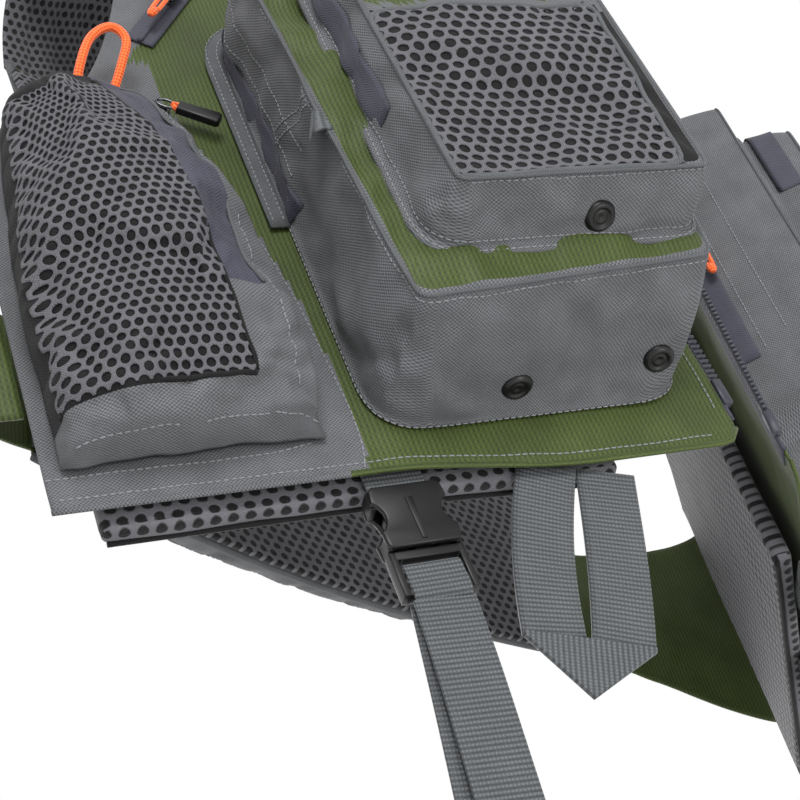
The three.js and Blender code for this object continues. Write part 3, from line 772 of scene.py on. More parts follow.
hemTurn = {"wrinkle": 1.0, "size": 26}
greyEdge = [(-40, -14), (-8, -5), (11, -4), (74, -8), (108, -13), (182, -27), (205, -34)]
upperZipLine = {"s": -13, "t": 286, "lean": 36, "long": 78}


def hemLine(s):
    drop = leaf["hem"] - leaf["hemDrop"] * smooth(s, 0, 90)
    intoCorner = max(0, s - (leaf["edge"] - leaf["hemCorner"]))
    return drop + leaf["hemCorner"] - math.sqrt(leaf["hemCorner"] ** 2 - intoCorner ** 2)


def topLine(s):
    armholeInner = leaf["shoulderOuter"] - 13
    if s < armholeInner:
        return lerp(leaf["underarm"], leaf["armholeTop"],
                    ((s - leaf["side"]) / (armholeInner - leaf["side"])) ** 3)
    if s < leaf["shoulderOuter"]:
        return lerp(leaf["armholeTop"], leaf["shoulder"], (s - armholeInner) / 13)
    share = max(0, (s - leaf["shoulderInner"]) / (leaf["edge"] - leaf["shoulderInner"]))
    return lerp(leaf["shoulder"], leaf["neckline"], share)


def isGrey(s, t):
    lean = math.radians(upperZipLine["lean"])
    if t > 240:
        return (s - upperZipLine["s"]) * math.cos(lean) - (t - upperZipLine["t"]) * math.sin(lean) < 0
    return s < between(greyEdge, t)


def frontPanel():
    def place(a, b):
        s = lerp(leaf["side"], leaf["edge"], a)
        t = lerp(hemLine(s), topLine(s), b)
        return Vector((s, t, -1.0))

    def paint(a, b):
        s = lerp(leaf["side"], leaf["edge"], a)
        return 1 if isGrey(s, lerp(hemLine(s), topLine(s), b)) else 0

    bm = gridShape(146, 88, place, paint=paint, flat=(0, 1))
    crumple(bm, hemTurn["size"], hemTurn["wrinkle"], lambda at: 0.35 + 0.65 * smooth(-at.y, -30, 24))
    piece = finishPiece("frontPanel_R", bm, [olive, grey], None, "olive_nylon")
    thicken(piece, 1.1)
    return piece


def hemBinding():
    # The rolled hem: a soft tube of the same cloth, with its row of stitches.
    stops = []
    for k in range(59):
        s = lerp(leaf["side"], leaf["edge"] - 0.4, k / 58)
        stops.append(Vector((s, hemLine(s) + 0.6, -1.6)))
    return tube(stops, 1.5, sides=8, flatten=0.7)


panel = frontPanel()
onPanel = Surface(panel)
sew(onPanel, [(s, hemLine(s) + 5, 0) for s in range(-128, 152, 4)])
sew(onPanel, [(between(greyEdge, t) - 1.2, t, 0) for t in range(-18, 200, 6)])
bm = hemBinding()
for face in bm.faces:
    face.material_index = 1 if face.calc_center_median().x < -14 else 0
finishPiece("hemRoll_R", bm, [olive, grey], "right_front", "olive_nylon")
print("front leaf panel is made")


# Main pocket.

mainPocket = {
    "rear": [(2, -1), (143, -1), (143, 257), (2, 257)], "rearRadii": [24, 22, 22, 30],
    "front": [(11, 15), (150, 26), (150, 249), (0, 249)], "frontRadii": [9, 8, 10, 14],
    "depth": 57, "flange": 4, "columns": 144, "growth": 0.035, "cap": 4.0,
}


def mainRings():
    made = mainPocket
    rear = (made["rear"], made["rearRadii"], 1.2)
    flange = (widened(made["rear"], made["flange"]), [r + 4 for r in made["rearRadii"]], 0.3)
    front = (made["front"], made["frontRadii"], made["depth"])
    middle = [(60, 132), (92, 132), (92, 150), (60, 150)]
    centre = (middle, [2, 2, 2, 2], made["depth"] - 0.5)
    rings = [flange]
    rings += ringsBetween(flange, rear, 2)
    rings += ringsBetween(rear, front, 13, bulge=2.2)
    lip = (widened(made["front"], -2), made["frontRadii"], made["depth"] + 0.9)
    rings += ringsBetween(front, lip, 1)
    rings += ringsBetween(lip, centre, 14)
    return rings


def fromZipSide(made, at, deep):
    # How far a point lies from a box pocket's zip side, where the slider runs.
    # deep is its share of the depth.
    return lerp(made["rear"][1][0], made["front"][1][0], min(max(deep, 0), 1)) - at.x


def mainPocketShell():
    rings = mainRings()
    frontRow = 16 / (len(rings) - 1)

    def paint(a, b):
        return 1 if b > frontRow else 0

    bm = ringShape(rings, mainPocket["columns"], paint=paint, flat=(1,))
    bmesh.ops.holes_fill(bm, edges=[e for e in bm.edges if e.is_boundary], sides=0)
    bmesh.ops.recalc_face_normals(bm, faces=bm.faces)
    crumple(bm, 34, 2.6, lambda at: smooth(at.z, 2, 16)
            * smooth(fromZipSide(mainPocket, at, at.z / mainPocket["depth"]), 3, 16))
    piece = finishPiece("mainPocket_R", bm, [grey, olive], None, "olive_nylon")
    back = onLeaf.inverted()

    def pinned(vert):
        at = back @ vert.co
        seam = min(abs(at.z - mainPocket["depth"]), 9)
        flat = fromZipSide(mainPocket, at, at.z / mainPocket["depth"]) < 4
        return at.z < 1.6 or flat or (seam < 1.6 and onSeam(at))

    return settleCloth(piece, pinned, growth=mainPocket["growth"], cap=mainPocket["cap"])


def onSeam(at):
    # Whether a point lies at the edge of the main pocket's front.
    left = lerp(11, 0, (at.y - 15) / 234)
    low = lerp(15, 26, (at.x - 11) / 139)
    return at.x < left + 3 or at.x > 147 or at.y < low + 3 or at.y > 246


def outlineRun(corners, radii, depth, first, last, count):
    # Points along an outline between two shares of its way round.
    run = []
    for k in range(count):
        at = roundOutline(corners, radii, lerp(first, last, k / (count - 1)))
        run.append(Vector((at.x, at.y, depth)))
    return run


mainShell = mainPocketShell()
mainShell = applyModifiers(subdivide(mainShell))
onMain = Surface(mainShell)


def laid(surface, run, lift):
    # A run of points moved onto a surface, and the way that the surface faces there.
    spots = []
    faces = []
    for point in run:
        spot, normal = surface.nearest(point)
        spots.append(spot + normal * lift)
        faces.append(normal)
    return spots, faces


def evened(points, rounds=2):
    for _ in range(rounds):
        points = [points[0]] + [
            (a + 2 * b + c) / 4 for a, b, c in zip(points, points[1:], points[2:])
        ] + [points[-1]]
    return points


def pipingOn(name, surface, run, radius, material, slot, closed=False, flatten=0.7):
    spots, faces = laid(surface, run, radius * 0.2)
    bm = tube(evened(spots), radius, sides=8, flatten=flatten, face=faces[len(faces) // 2], closed=closed)
    return finishPiece(name, bm, [material], "right_front", slot)


frontSeam = outlineRun(mainPocket["front"], mainPocket["frontRadii"],
                       mainPocket["depth"] + 0.4, 0, 1, 161)[:-1]
pipingOn("mainSeamPiping_R", onMain, frontSeam, 1.1, bindingTape, "grey_oxford", closed=True)
rearBand = widened(mainPocket["rear"], 2)
sew(onMain, outlineRun(rearBand, [26, 24, 24, 32], 0.6, -0.26, 0.26, 90))
sew(onMain, [(v.x, v.y, mainPocket["depth"] - 2.5) for v in outlineRun(
    widened(mainPocket["front"], 0.5), mainPocket["frontRadii"], 0, -0.24, 0.26, 90)])


def gussetTape(name, surface, corners, radii, depths, span, material, slot, lift=0.5, count=90, width=9):
    # Zip tape sewn round a gusset at one share of its depth.
    low, high, share = depths
    run = outlineRun(corners, radii, lerp(low, high, share), span[0], span[1], count)
    spots, faces = laid(surface, run, lift)
    bm = ribbon(evened(spots), faces, width, 0.7, cols=4)
    return finishPiece(name, bm, [material], "right_front", slot, turnOut=True)


# From the lower left of the zip, up the left side, over the top and down the right side.
upperSpan = (-0.155, -0.72)
tapeLine = widened(mainPocket["rear"], 0)
gussetTape("mainZipTape_R", onMain, tapeLine, mainPocket["rearRadii"], (0, 57, 0.13),
                      upperSpan, tape, "zip_tape", width=12)
bindingLine = widened(mainPocket["rear"], 6)
spots = outlineRun(bindingLine, [28, 26, 26, 36], 1.6, *upperSpan, 90)
bm = ribbon(spots, [Vector((0, 0, 1))] * len(spots), 9, 1.0, cols=3)
mainBinding = finishPiece("mainZipBinding_R", bm, [bindingTape], "right_front", "grey_oxford", turnOut=True)
onBinding = Surface(mainBinding)
sew(onBinding, [(p.x, p.y, 3) for p in outlineRun(widened(mainPocket["rear"], 3.4), [26] * 4, 0, *upperSpan, 80)])
sew(onBinding, [(p.x, p.y, 3) for p in outlineRun(widened(mainPocket["rear"], 8.4), [30] * 4, 0, *upperSpan, 80)])
for depth in (17, 30):
    x = depth / mainPocket["depth"]
    corners = [tuple(Vector(a).lerp(Vector(b), x)) for a, b in zip(mainPocket["rear"], mainPocket["front"])]
    sew(onMain, outlineRun(corners, [20, 18, 18, 24], depth, -0.165, -0.72, 90))
barStart, barEnd = Vector((2, 141, 57)), Vector((2, 166, 12))
sew(onMain, [barStart.lerp(barEnd, k / 12) for k in range(13)])
sew(onMain, [barStart.lerp(barEnd, k / 12) - Vector((0, 6, 0)) for k in range(13)])
print("main pocket is made")


# Small pocket.

smallPocket = {
    "rear": [(24, 38), (146, 38), (146, 220), (24, 220)], "rearRadii": [20, 12, 14, 16],
    "front": [(34, 50), (148, 50), (148, 212), (30, 212)], "frontRadii": [5, 5, 10, 10],
    "low": 57.4, "high": 85.0, "flange": 4, "columns": 120, "growth": 0.03, "cap": 3.0,
    "windowTop": 157, "bandTop": 165,
}


def smallPocketShell():
    made = smallPocket
    start = (widened(made["rear"], made["flange"]), [r + 4 for r in made["rearRadii"]], made["low"] - 2)
    flange = (widened(made["rear"], made["flange"]), [r + 4 for r in made["rearRadii"]], made["low"] + 1.8)
    rear = (made["rear"], made["rearRadii"], made["low"] + 2.6)
    front = (made["front"], made["frontRadii"], made["high"])
    lip = (widened(made["front"], -2), made["frontRadii"], made["high"] + 0.2)
    centre = ([(80, 118), (100, 118), (100, 130), (80, 130)], [1, 1, 1, 1], made["high"] + 1.5)
    rings = [start] + ringsBetween(start, flange, 2) + ringsBetween(flange, rear, 2)
    rings += ringsBetween(rear, front, 8, bulge=1.5) + ringsBetween(front, lip, 1)
    rings += ringsBetween(lip, centre, 14)
    frontRow = 13 / (len(rings) - 1)

    bm = ringShape(rings, made["columns"], paint=lambda a, b: 1 if b > frontRow else 0, flat=(1,))
    bmesh.ops.holes_fill(bm, edges=[e for e in bm.edges if e.is_boundary], sides=0)
    bmesh.ops.recalc_face_normals(bm, faces=bm.faces)
    for face in bm.faces:
        if face.material_index == 1:
            level = face.calc_center_median().y
            face.material_index = 1 if level < made["windowTop"] else (0 if level < made["bandTop"] else 2)
    crumple(bm, 26, 1.7, lambda at: smooth(at.z, 58, 66)
            * smooth(fromZipSide(made, at, (at.z - made["low"]) / (made["high"] - made["low"])), 3, 14), seed=4)
    piece = finishPiece("smallPocket_R", bm, [grey, meshInside, olive], None, "grey_oxford")
    back = onLeaf.inverted()

    def pinned(vert):
        at = back @ vert.co
        edge = at.z > 83.5 and (at.x < 36 or at.x > 146 or at.y < 52.5 or at.y > 210)
        deep = (at.z - made["low"]) / (made["high"] - made["low"])
        return at.z < 60.2 or edge or fromZipSide(made, at, deep) < 4

    return settleCloth(piece, pinned, growth=made["growth"], cap=made["cap"])


def honeycomb(width, height, pitch, strandWide):
    # A flat knit of six-sided holes, width by height millimetres from the origin.
    bm = bmesh.new()
    radius = pitch / math.sqrt(3)
    rowStep = radius * 1.5
    rows = int(height / rowStep) + 2
    cols = int(width / pitch) + 2
    for j in range(rows):
        for i in range(cols):
            x = i * pitch + (pitch / 2 if j % 2 else 0)
            at = Matrix.Translation((x, j * rowStep, 0))
            bmesh.ops.create_circle(bm, cap_ends=True, radius=radius, segments=6, matrix=at)
    bmesh.ops.remove_doubles(bm, verts=bm.verts, dist=0.05)
    holes = list(bm.faces)
    bmesh.ops.inset_individual(bm, faces=holes, thickness=strandWide / 2, use_even_offset=True)
    bmesh.ops.delete(bm, geom=holes, context="FACES")
    bmesh.ops.scale(bm, vec=(1, 0.94, 1), verts=bm.verts)
    for where, outwards in (((0.1, 0, 0), (-1, 0, 0)), ((width, 0, 0), (1, 0, 0)),
                            ((0, 0.1, 0), (0, -1, 0)), ((0, height, 0), (0, 1, 0))):
        parts = bm.verts[:] + bm.edges[:] + bm.faces[:]
        bmesh.ops.bisect_plane(bm, geom=parts, plane_co=where, plane_no=outwards, clear_outer=True)
    layer = bm.loops.layers.uv.new("UVMap")
    for face in bm.faces:
        for loop in face.loops:
            loop[layer].uv = (loop.vert.co.x, loop.vert.co.y)
    return bm


def knit(name, bm, place, thickness=0.9):
    # Lays a flat knit on a surface; place takes its millimetres, and gives the point and the way out.
    for vert in bm.verts:
        at, out = place(vert.co.x, vert.co.y)
        vert.co = at + out * thickness
    bm.normal_update()
    out = place(10, 10)[1]
    if sum((f.normal.dot(out) for f in bm.faces)) < 0:
        bmesh.ops.reverse_faces(bm, faces=bm.faces)
    piece = finishPiece(name, bm, [strand], None, "spacer_mesh")
    thicken(piece, thickness)
    subdivide(piece)
    piece = applyModifiers(piece)
    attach(piece, "right_front")
    return piece


spacer = {"pitch": 7.0, "strand": 1.9}
smallShell = applyModifiers(subdivide(smallPocketShell()))
onSmall = Surface(smallShell)
window = {"low": 51, "high": 157, "left": (34, 31), "right": (137, 141)}


def smallWindowPlace(x, y):
    b = y / (window["high"] - window["low"])
    left = lerp(window["left"][0], window["left"][1], b)
    right = lerp(window["right"][0], window["right"][1], b)
    s = left + x / 108 * (right - left)
    t = window["low"] + y
    spot, normal = onSmall.ahead((s, t, 110), (0, 0, -1))
    return spot, Vector((0, 0, 1))


knit("smallPocketMesh_R", honeycomb(108, 106, spacer["pitch"], spacer["strand"]),
     smallWindowPlace)
print("small pocket is made")
smallSeam = [Vector((34, 51, 86)), Vector((137, 51, 86)), Vector((141, 157, 86)), Vector((31, 157, 86))]
windowRun = []
for k in range(4):
    for i in range(22):
        windowRun.append(smallSeam[k].lerp(smallSeam[(k + 1) % 4], i / 22))
pipingOn("smallWindowPiping_R", onSmall, windowRun, 1.5, bindingTape, "grey_oxford", closed=True)
frontRun = outlineRun(smallPocket["front"], smallPocket["frontRadii"],
                      smallPocket["high"] + 0.4, 0, 1, 121)[:-1]
pipingOn("smallSeamPiping_R", onSmall, frontRun, 1.3, bindingTape, "grey_oxford", closed=True)
rearRing = widened(smallPocket["rear"], 2.4)
sew(onSmall, outlineRun(rearRing, [22, 14, 16, 18], 60, -0.26, 0.28, 90))
sew(onSmall, outlineRun(widened(smallPocket["rear"], -0.6), [20, 12, 14, 16], 62, -0.26, 0.28, 90))
sew(onSmall, [(p.x, p.y, 83) for p in outlineRun(smallPocket["front"], [5, 5, 10, 10], 0, 0.0, 0.25, 60)])
smallTapeRun = outlineRun(smallPocket["rear"], smallPocket["rearRadii"], 70, -0.13, -0.62, 90)
spots, faces = laid(onSmall, smallTapeRun, 0.5)
bm = ribbon(evened(spots), faces, 13, 0.7, cols=4)
finishPiece("smallZipTape_R", bm, [tape], "right_front", "zip_tape", turnOut=True)


# Side pocket.

sidePocket = {
    "left": -125, "right": -20, "bottom": -3, "height": 203, "depth": 47, "lip": 2, "topLean": 34,
    "columns": 64, "rows": 84, "flange": 5,
    "meshRight": [(0, 0.735), (0.25, 0.72), (0.5, 0.68), (0.8, 0.66), (1, 0.62)],
    "tapeRight": [(0, 0.86), (0.3, 0.87), (0.6, 0.86), (1, 0.86)], "meshLow": 0.075, "tapeLow": 0.29,
}


def dome(x, power):
    return max(0, 1 - abs(2 * x - 1) ** power) ** (1 / power)


def sidePocketAt(a, b):
    made = sidePocket
    lean = made["topLean"] * b ** 3
    s = lerp(made["left"] + 0.4 * lean, made["right"] - lean, a)
    t = made["bottom"] + made["height"] * b
    slack = 0.82 + 0.18 * smooth(b, 0, 0.25)
    swell = (made["depth"] - made["lip"] - 2) * dome(a, 2.4) * dome(b, 3.4) * slack
    return Vector((s, t, made["lip"] * 0.6 + swell))


def sidePocketShell():
    made = sidePocket

    def paint(a, b):
        if b < made["meshLow"] or b > 0.985:
            return 0
        if a < between(made["meshRight"], b):
            return 1
        return 2 if a < between(made["tapeRight"], b) and b > made["tapeLow"] else 0

    bm = gridShape(made["columns"], made["rows"], sidePocketAt, paint=paint)
    crumple(bm, 21, 3.4, lambda at: 1 - smooth(at.y, 6, 46), seed=9)
    crumple(bm, 34, 1.8, lambda at: smooth(at.y, 20, 60), seed=2)
    piece = finishPiece("sidePocket_R", bm, [grey, meshInside, tape], None, "spacer_mesh")
    back = onLeaf.inverted()

    def pinned(vert):
        at = back @ vert.co
        return at.z < 6 or at.y < 0 or at.y > 197

    settleCloth(piece, pinned, growth=0.05, pressure=0.3, cap=4.5)
    return piece


sideShell = applyModifiers(subdivide(thicken(sidePocketShell(), 0.8)))
onSide = Surface(sideShell)


def sideMeshPlace(x, y):
    b = lerp(sidePocket["meshLow"], 0.985, y / 236)
    a = lerp(0.02, between(sidePocket["meshRight"], b), x / 104)
    flat = sidePocketAt(a, b)
    step = 0.01
    across = sidePocketAt(a + step, b) - flat
    upward = sidePocketAt(a, min(b + step, 1)) - sidePocketAt(a, min(b + step, 1) - step)
    out = across.cross(upward).normalized()
    spot, normal = onSide.ahead(flat + out * 12, -out)
    return spot, normal if normal.dot(out) > 0 else -normal


knit("sidePocketMesh_R", honeycomb(104, 236, spacer["pitch"], spacer["strand"]), sideMeshPlace)


def sideRun(low, high, count, line, shift=0.0):
    return [sidePocketAt(between(sidePocket[line], b) + shift, b)
            for b in (lerp(low, high, k / (count - 1)) for k in range(count))]


def sideBand(name, run, radius, material, slot, flatten=0.6):
    spots, faces = laid(onSide, run, radius * 0.35)
    bm = tube(evened(spots), radius, sides=8, flatten=flatten, face=faces[len(faces) // 2])
    return finishPiece(name, bm, [material], "right_front", slot)


sideBand("sideMeshEdge_R", sideRun(0.075, 0.985, 60, "meshRight"), 1.0, meshInside, "grey_oxford")
sideBand("sideZipEdge_R", sideRun(0.29, 0.985, 50, "tapeRight"), 1.2, bindingTape, "grey_oxford")
lowRun = [sidePocketAt(lerp(0.02, 0.735, k / 40), sidePocket["meshLow"]) for k in range(41)]
sideBand("sideMeshFoot_R", lowRun, 1.1, meshInside, "grey_oxford")
sew(onSide, sideRun(0.06, 0.97, 60, "tapeRight", 0.045))
sew(onSide, [sidePocketAt(lerp(0.05, 0.97, k / 40), 0.012) for k in range(41)])
seamFoot = [(-131 + k * 2.4, -1.5 + 4 * smooth(k, 36, 48), 0) for k in range(46)]
sew(onPanel, [(s, t - 3.5, n) for s, t, n in seamFoot])
print("side pocket is made")


# Linings, upper zip and front zip.

def leafLining():
    front = -leaf["air"] - leaf["thick"] - 5
    thick = 9

    def place(a, b):
        s = lerp(leaf["side"] + 18, leaf["edge"] - 58, a)
        low = hemLine(s) - 6 * (1 - smooth(s, 0, 90))
        return Vector((s, lerp(low, topLine(s) - 12, b), front))

    bm = gridShape(54, 70, place, flat=(0,))
    edge = [f for f in bm.faces]
    made = bmesh.ops.extrude_face_region(bm, geom=edge)
    deeper = [v for v in made["geom"] if isinstance(v, bmesh.types.BMVert)]
    bmesh.ops.translate(bm, verts=deeper, vec=(0, 0, -thick))
    bmesh.ops.recalc_face_normals(bm, faces=bm.faces)
    rims = [e for e in bm.edges if e.calc_face_angle(0) > 1]
    bmesh.ops.bevel(bm, geom=rims, offset=3.2, segments=4, profile=0.5, affect="EDGES", material=-1)
    layer = bm.loops.layers.uv.active
    for face in bm.faces:
        if abs(face.normal.y) > 0.5:
            for loop in face.loops:
                loop[layer].uv = (loop.vert.co.x, loop.vert.co.z)
    crumple(bm, 40, 0.8, seed=6)
    return finishPiece("leafLining_R", bm, [lining], "right_front", "spacer_mesh")


liningPiece = leafLining()
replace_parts(liningPiece, "mesh_lining_R")
underEdge = []
for k in range(60):
    s = lerp(leaf["side"] + 20, leaf["edge"] - 60, k / 59)
    underEdge.append(Vector((s, hemLine(s) - 6 * (1 - smooth(s, 0, 90)) - 0.2, -16)))
finishPiece("liningBinding_R", tube(underEdge, 1.4, sides=8), [meshInside],
                            "right_front", "grey_oxford")


def upperZip():
    lean = math.radians(upperZipLine["lean"])
    along = Vector((math.sin(lean), math.cos(lean), 0))
    middle = Vector((upperZipLine["s"], upperZipLine["t"], 0.8))
    points = [middle + along * (k - 13) * 3 for k in range(27)]
    out = [Vector((0, 0, 1))] * len(points)
    bm = ribbon(points, out, 14, 1.0, cols=6)
    coil = tube([p + Vector((0, 0, 0.4)) for p in points], lambda b: 1.4 + 0.25 * math.sin(b * 150), sides=8)
    piece = finishPiece("upperZipTape_R", bodyOf(bm, coil), [tape], "right_front", "zip_tape", turnOut=True)
    return piece


upperTape = upperZip()
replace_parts(upperTape, "upper_zip_R")

frontZip = {"wide": 5.5, "thick": 5, "bottom": -8, "top": 236, "pitch": 3.0, "air": 0.4}


def frontZipTeeth():
    # Moulded teeth on a corded tape edge, with the square stop at the foot.
    x = leaf["edge"] + frontZip["air"] + frontZip["wide"] / 2
    bm = bmesh.new()
    count = int((frontZip["top"] - frontZip["bottom"]) / frontZip["pitch"])
    for k in range(5, count):
        t = frontZip["bottom"] + (k + 0.5) * frontZip["pitch"]
        size = Matrix.Diagonal((frontZip["wide"] - 0.3, 1.7, 3.0, 1))
        bmesh.ops.create_cube(bm, size=1, matrix=Matrix.Translation((x, t, -2.4)) @ size)
    stop = Matrix.Translation((x, frontZip["bottom"] + 7, -2.4)) @ Matrix.Diagonal((4.6, 14, 4.2, 1))
    bmesh.ops.create_cube(bm, size=1, matrix=stop)
    bmesh.ops.bevel(bm, geom=bm.edges[:], offset=0.35, segments=1, profile=0.5, affect="EDGES", material=-1)
    return finishPiece("frontZipTeeth_R", bm, [toothPlastic], "right_front", "zip_teeth", turnOut=True)


teeth = frontZipTeeth()
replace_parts(teeth, "front_zip_R")
edgeRun = [Vector((leaf["edge"] - 4, lerp(-16, 238, k / 60), -2.6)) for k in range(61)]
bm = ribbon(edgeRun, [Vector((0, 0, 1))] * 61, 12, 0.8, cols=3)
finishPiece("frontZipTape_R", bm, [tape], "right_front", "zip_tape", turnOut=True)
cordEdge = [p + Vector((5.4, 0, 0)) for p in edgeRun]
finishPiece("frontZipCord_R", tube(cordEdge, 1.0, sides=8), [tape], "right_front", "zip_tape")
sew(onPanel, [(leaf["edge"] - 5, t, 0) for t in range(-10, 238, 6)])
print("linings and open zips are made")


# Hem hardware.

buckle = {
    "wide": 31, "thick": 12, "socketLong": 29, "ladderLong": 20, "ladderThick": 7,
    "webbing": 25, "webbingThick": 1.6, "tabStart": 1.6,
    "at": 3, "hangDepth": -5.9, "socketDrop": 8,
}
belt = {"run": 280, "tail": 165, "runLean": -9, "tailLean": -5, "layerGap": 1.4}


def frameAt(place, turn=0.0):
    return Matrix.Translation(place) @ Matrix.Rotation(math.radians(turn), 4, "Z")


socketFrame = frameAt((buckle["at"], hemLine(buckle["at"]) - buckle["socketDrop"], buckle["hangDepth"]))
plugFrame = socketFrame @ frameAt((0, -buckle["socketLong"] - leaf["air"], 0))


def outlinePlate(points, thick, edge=0.8, segments=2):
    # A plate from an outline in the x-y plane, centred on its thickness, with rounded edges.
    bm = bmesh.new()
    verts = [bm.verts.new((x, y, -thick / 2)) for x, y in points]
    face = bm.faces.new(verts)
    made = bmesh.ops.extrude_face_region(bm, geom=[face])
    top = [v for v in made["geom"] if isinstance(v, bmesh.types.BMVert)]
    bmesh.ops.translate(bm, verts=top, vec=(0, 0, thick))
    bmesh.ops.recalc_face_normals(bm, faces=bm.faces)
    rims = [e for e in bm.edges if abs((e.verts[0].co - e.verts[1].co).z) < 0.01]
    bmesh.ops.bevel(bm, geom=rims, offset=edge, segments=segments, profile=0.5, affect="EDGES", material=-1)
    return bm


def mirroredOutline(half):
    # A half outline (x from the middle line, top to bottom) and its mirror image.
    return half + [(-x, y) for x, y in reversed(half)]


def arc(centre, radius, first, last, count):
    spots = []
    for k in range(count + 1):
        angle = math.radians(lerp(first, last, k / count))
        spots.append((centre[0] + radius * math.cos(angle), centre[1] + radius * math.sin(angle)))
    return spots


def socketPiece():
    # The side-release socket: two plates with thumb cut-outs, joined by a top bar and side walls.
    long = buckle["socketLong"]
    half = buckle["wide"] / 2
    scoop = arc((half + 4.6, -long * 0.5), 8.2, 122, 238, 10)
    side = [(0, 0), (half - 2.2, 0), (half - 0.4, -1.8)] + scoop + [(half - 0.4, -long + 1.2), (half - 1.4, -long)]
    outline = mirroredOutline(side + [(0, -long)])
    outline = [p for i, p in enumerate(outline) if i == 0 or p != outline[i - 1]]
    outline = outline[:-1] if outline[0] == outline[-1] else outline
    plate = 2.6
    bm = outlinePlate(outline, plate, edge=0.9, segments=3)
    bmesh.ops.translate(bm, verts=bm.verts, vec=(0, 0, buckle["thick"] / 2 - plate / 2))
    rear = outlinePlate(outline, plate, edge=0.9, segments=3)
    bmesh.ops.translate(rear, verts=rear.verts, vec=(0, 0, -buckle["thick"] / 2 + plate / 2))
    bodyOf(bm, rear)
    inside = buckle["thick"] - 2 * plate + 0.6
    for x, y, wide, high in ((0, -3, buckle["wide"] - 3, 6), (half - 1.2, -5, 2.2, 8), (1.2 - half, -5, 2.2, 8),
                             (half - 1.5, -long + 3.2, 2.0, 6), (1.5 - half, -long + 3.2, 2.0, 6)):
        wall = outlinePlate([(x - wide / 2, y - high / 2), (x + wide / 2, y - high / 2),
                             (x + wide / 2, y + high / 2), (x - wide / 2, y + high / 2)], inside, 0.3, 1)
        bodyOf(bm, wall)
    ridge = outlinePlate([(-1.0, -long + 2), (1.0, -long + 2), (1.6, -7), (-1.6, -7)], 0.9, 0.35, 2)
    bmesh.ops.translate(ridge, verts=ridge.verts, vec=(0, 0, buckle["thick"] / 2 + 0.1))
    bodyOf(bm, ridge)
    bm.transform(socketFrame)
    return finishPiece("buckleSocket_R", bm, [acetal], "buckle_R", "black_acetal", angle=35)


def ladderLock(frame, name, body, prongs=False):
    # The plug: a framed ladder with two bars, a blade and two sprung arms.
    long = buckle["ladderLong"]
    half = buckle["wide"] / 2
    thick = buckle["ladderThick"]
    bm = bmesh.new()
    rails = [(half - 1.5, -long / 2, 3.0, long), (1.5 - half, -long / 2, 3.0, long)]
    bars = [(0, -2.0, buckle["wide"] - 3, 4.0), (0, -9.8, buckle["wide"] - 4, 2.6),
            (0, -long + 1.6, buckle["wide"] - 3, 3.2)]
    for (x, y, wide, high), deep in [(r, thick) for r in rails] + list(zip(bars, (thick, 3.0, thick - 1))):
        part = outlinePlate([(x - wide / 2, y - high / 2), (x + wide / 2, y - high / 2),
                             (x + wide / 2, y + high / 2), (x - wide / 2, y + high / 2)], deep, 0.8, 3)
        bodyOf(bm, part)
    blade = outlinePlate([(-3.5, -1), (3.5, -1), (3.0, 15), (-3.0, 15)], 3, 0.6, 2)
    bodyOf(bm, blade)
    if prongs:
        for side in (-1, 1):
            x = side * 8.8
            arm = outlinePlate([(x - 2.5, -1), (x + 2.5, -1), (x + 2.5, 15.6), (x, 22), (x - 2.5, 15.6)],
                               3.6, 0.6, 2)
            bodyOf(bm, arm)
    bm.transform(frame)
    return finishPiece(name, bm, [acetal], body, "black_acetal", angle=35, turnOut=True)


socket = socketPiece()
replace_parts(socket, "buckle_socket_R")
plugPiece = ladderLock(plugFrame, "bucklePlug", "plug")
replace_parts(plugPiece, "buckle_plug")


def strapAlong(name, points, width, thick, body, faces=None):
    # Webbing along points in the leaf's millimetres, with rounded selvedges.
    bm = ribbon(points, faces or [Vector((0, 0, 1))] * len(points), width, thick, cols=6)
    bmesh.ops.recalc_face_normals(bm, faces=bm.faces)
    rims = [e for e in bm.edges if e.calc_face_angle(0) > 1 and abs(e.calc_length()) > 0.1]
    bmesh.ops.bevel(bm, geom=rims, offset=0.45, segments=2, profile=0.5, affect="EDGES", material=-1)
    return finishPiece(name, bm, [webbing], body, "webbing")


tabTop = [socketFrame @ Vector((0, y, 0)) for y in (buckle["tabStart"], 8, 14, 20, 26, 34)]
tab = strapAlong("socketTab_R", tabTop, buckle["webbing"], buckle["webbingThick"], "right_front")
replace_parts(tab, "socket_tab_R")
below = -buckle["ladderLong"] - 12.5 * math.sin(math.radians(9)) - leaf["air"]
depthOff = belt["layerGap"] + buckle["webbingThick"] / 2
runFrame = plugFrame @ frameAt((0, below, -depthOff), belt["runLean"])
tailFrame = plugFrame @ frameAt((0, below, depthOff), belt["tailLean"])
endFrame = runFrame @ frameAt((0, -belt["run"] - leaf["air"], 0), 180) @ frameAt((0, buckle["ladderLong"], 0))


def beltPoints(frame, long, sway, first):
    spots = []
    for k in range(29):
        y = lerp(first, -long, k / 28)
        drift = sway * math.sin(math.pi * k / 28)
        spots.append(frame @ Vector((drift, y, 0.5 * math.sin(3 * math.pi * k / 28))))
    return spots


runPoints = beltPoints(runFrame, belt["run"] - 0.2, 1.2, 0)
tailPoints = beltPoints(tailFrame, belt["tail"] - 0.2, 0.9, 0)
runStrap = strapAlong("beltStrap", runPoints, buckle["webbing"], buckle["webbingThick"], "plug")
tailStrap = strapAlong("beltTail", tailPoints, buckle["webbing"], buckle["webbingThick"], "plug")
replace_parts(runStrap, "belt_strap")
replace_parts(tailStrap, "belt_tail")
endPlug = ladderLock(endFrame, "beltEndPlug", "plug", prongs=True)
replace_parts(endPlug, "belt_end_plug")


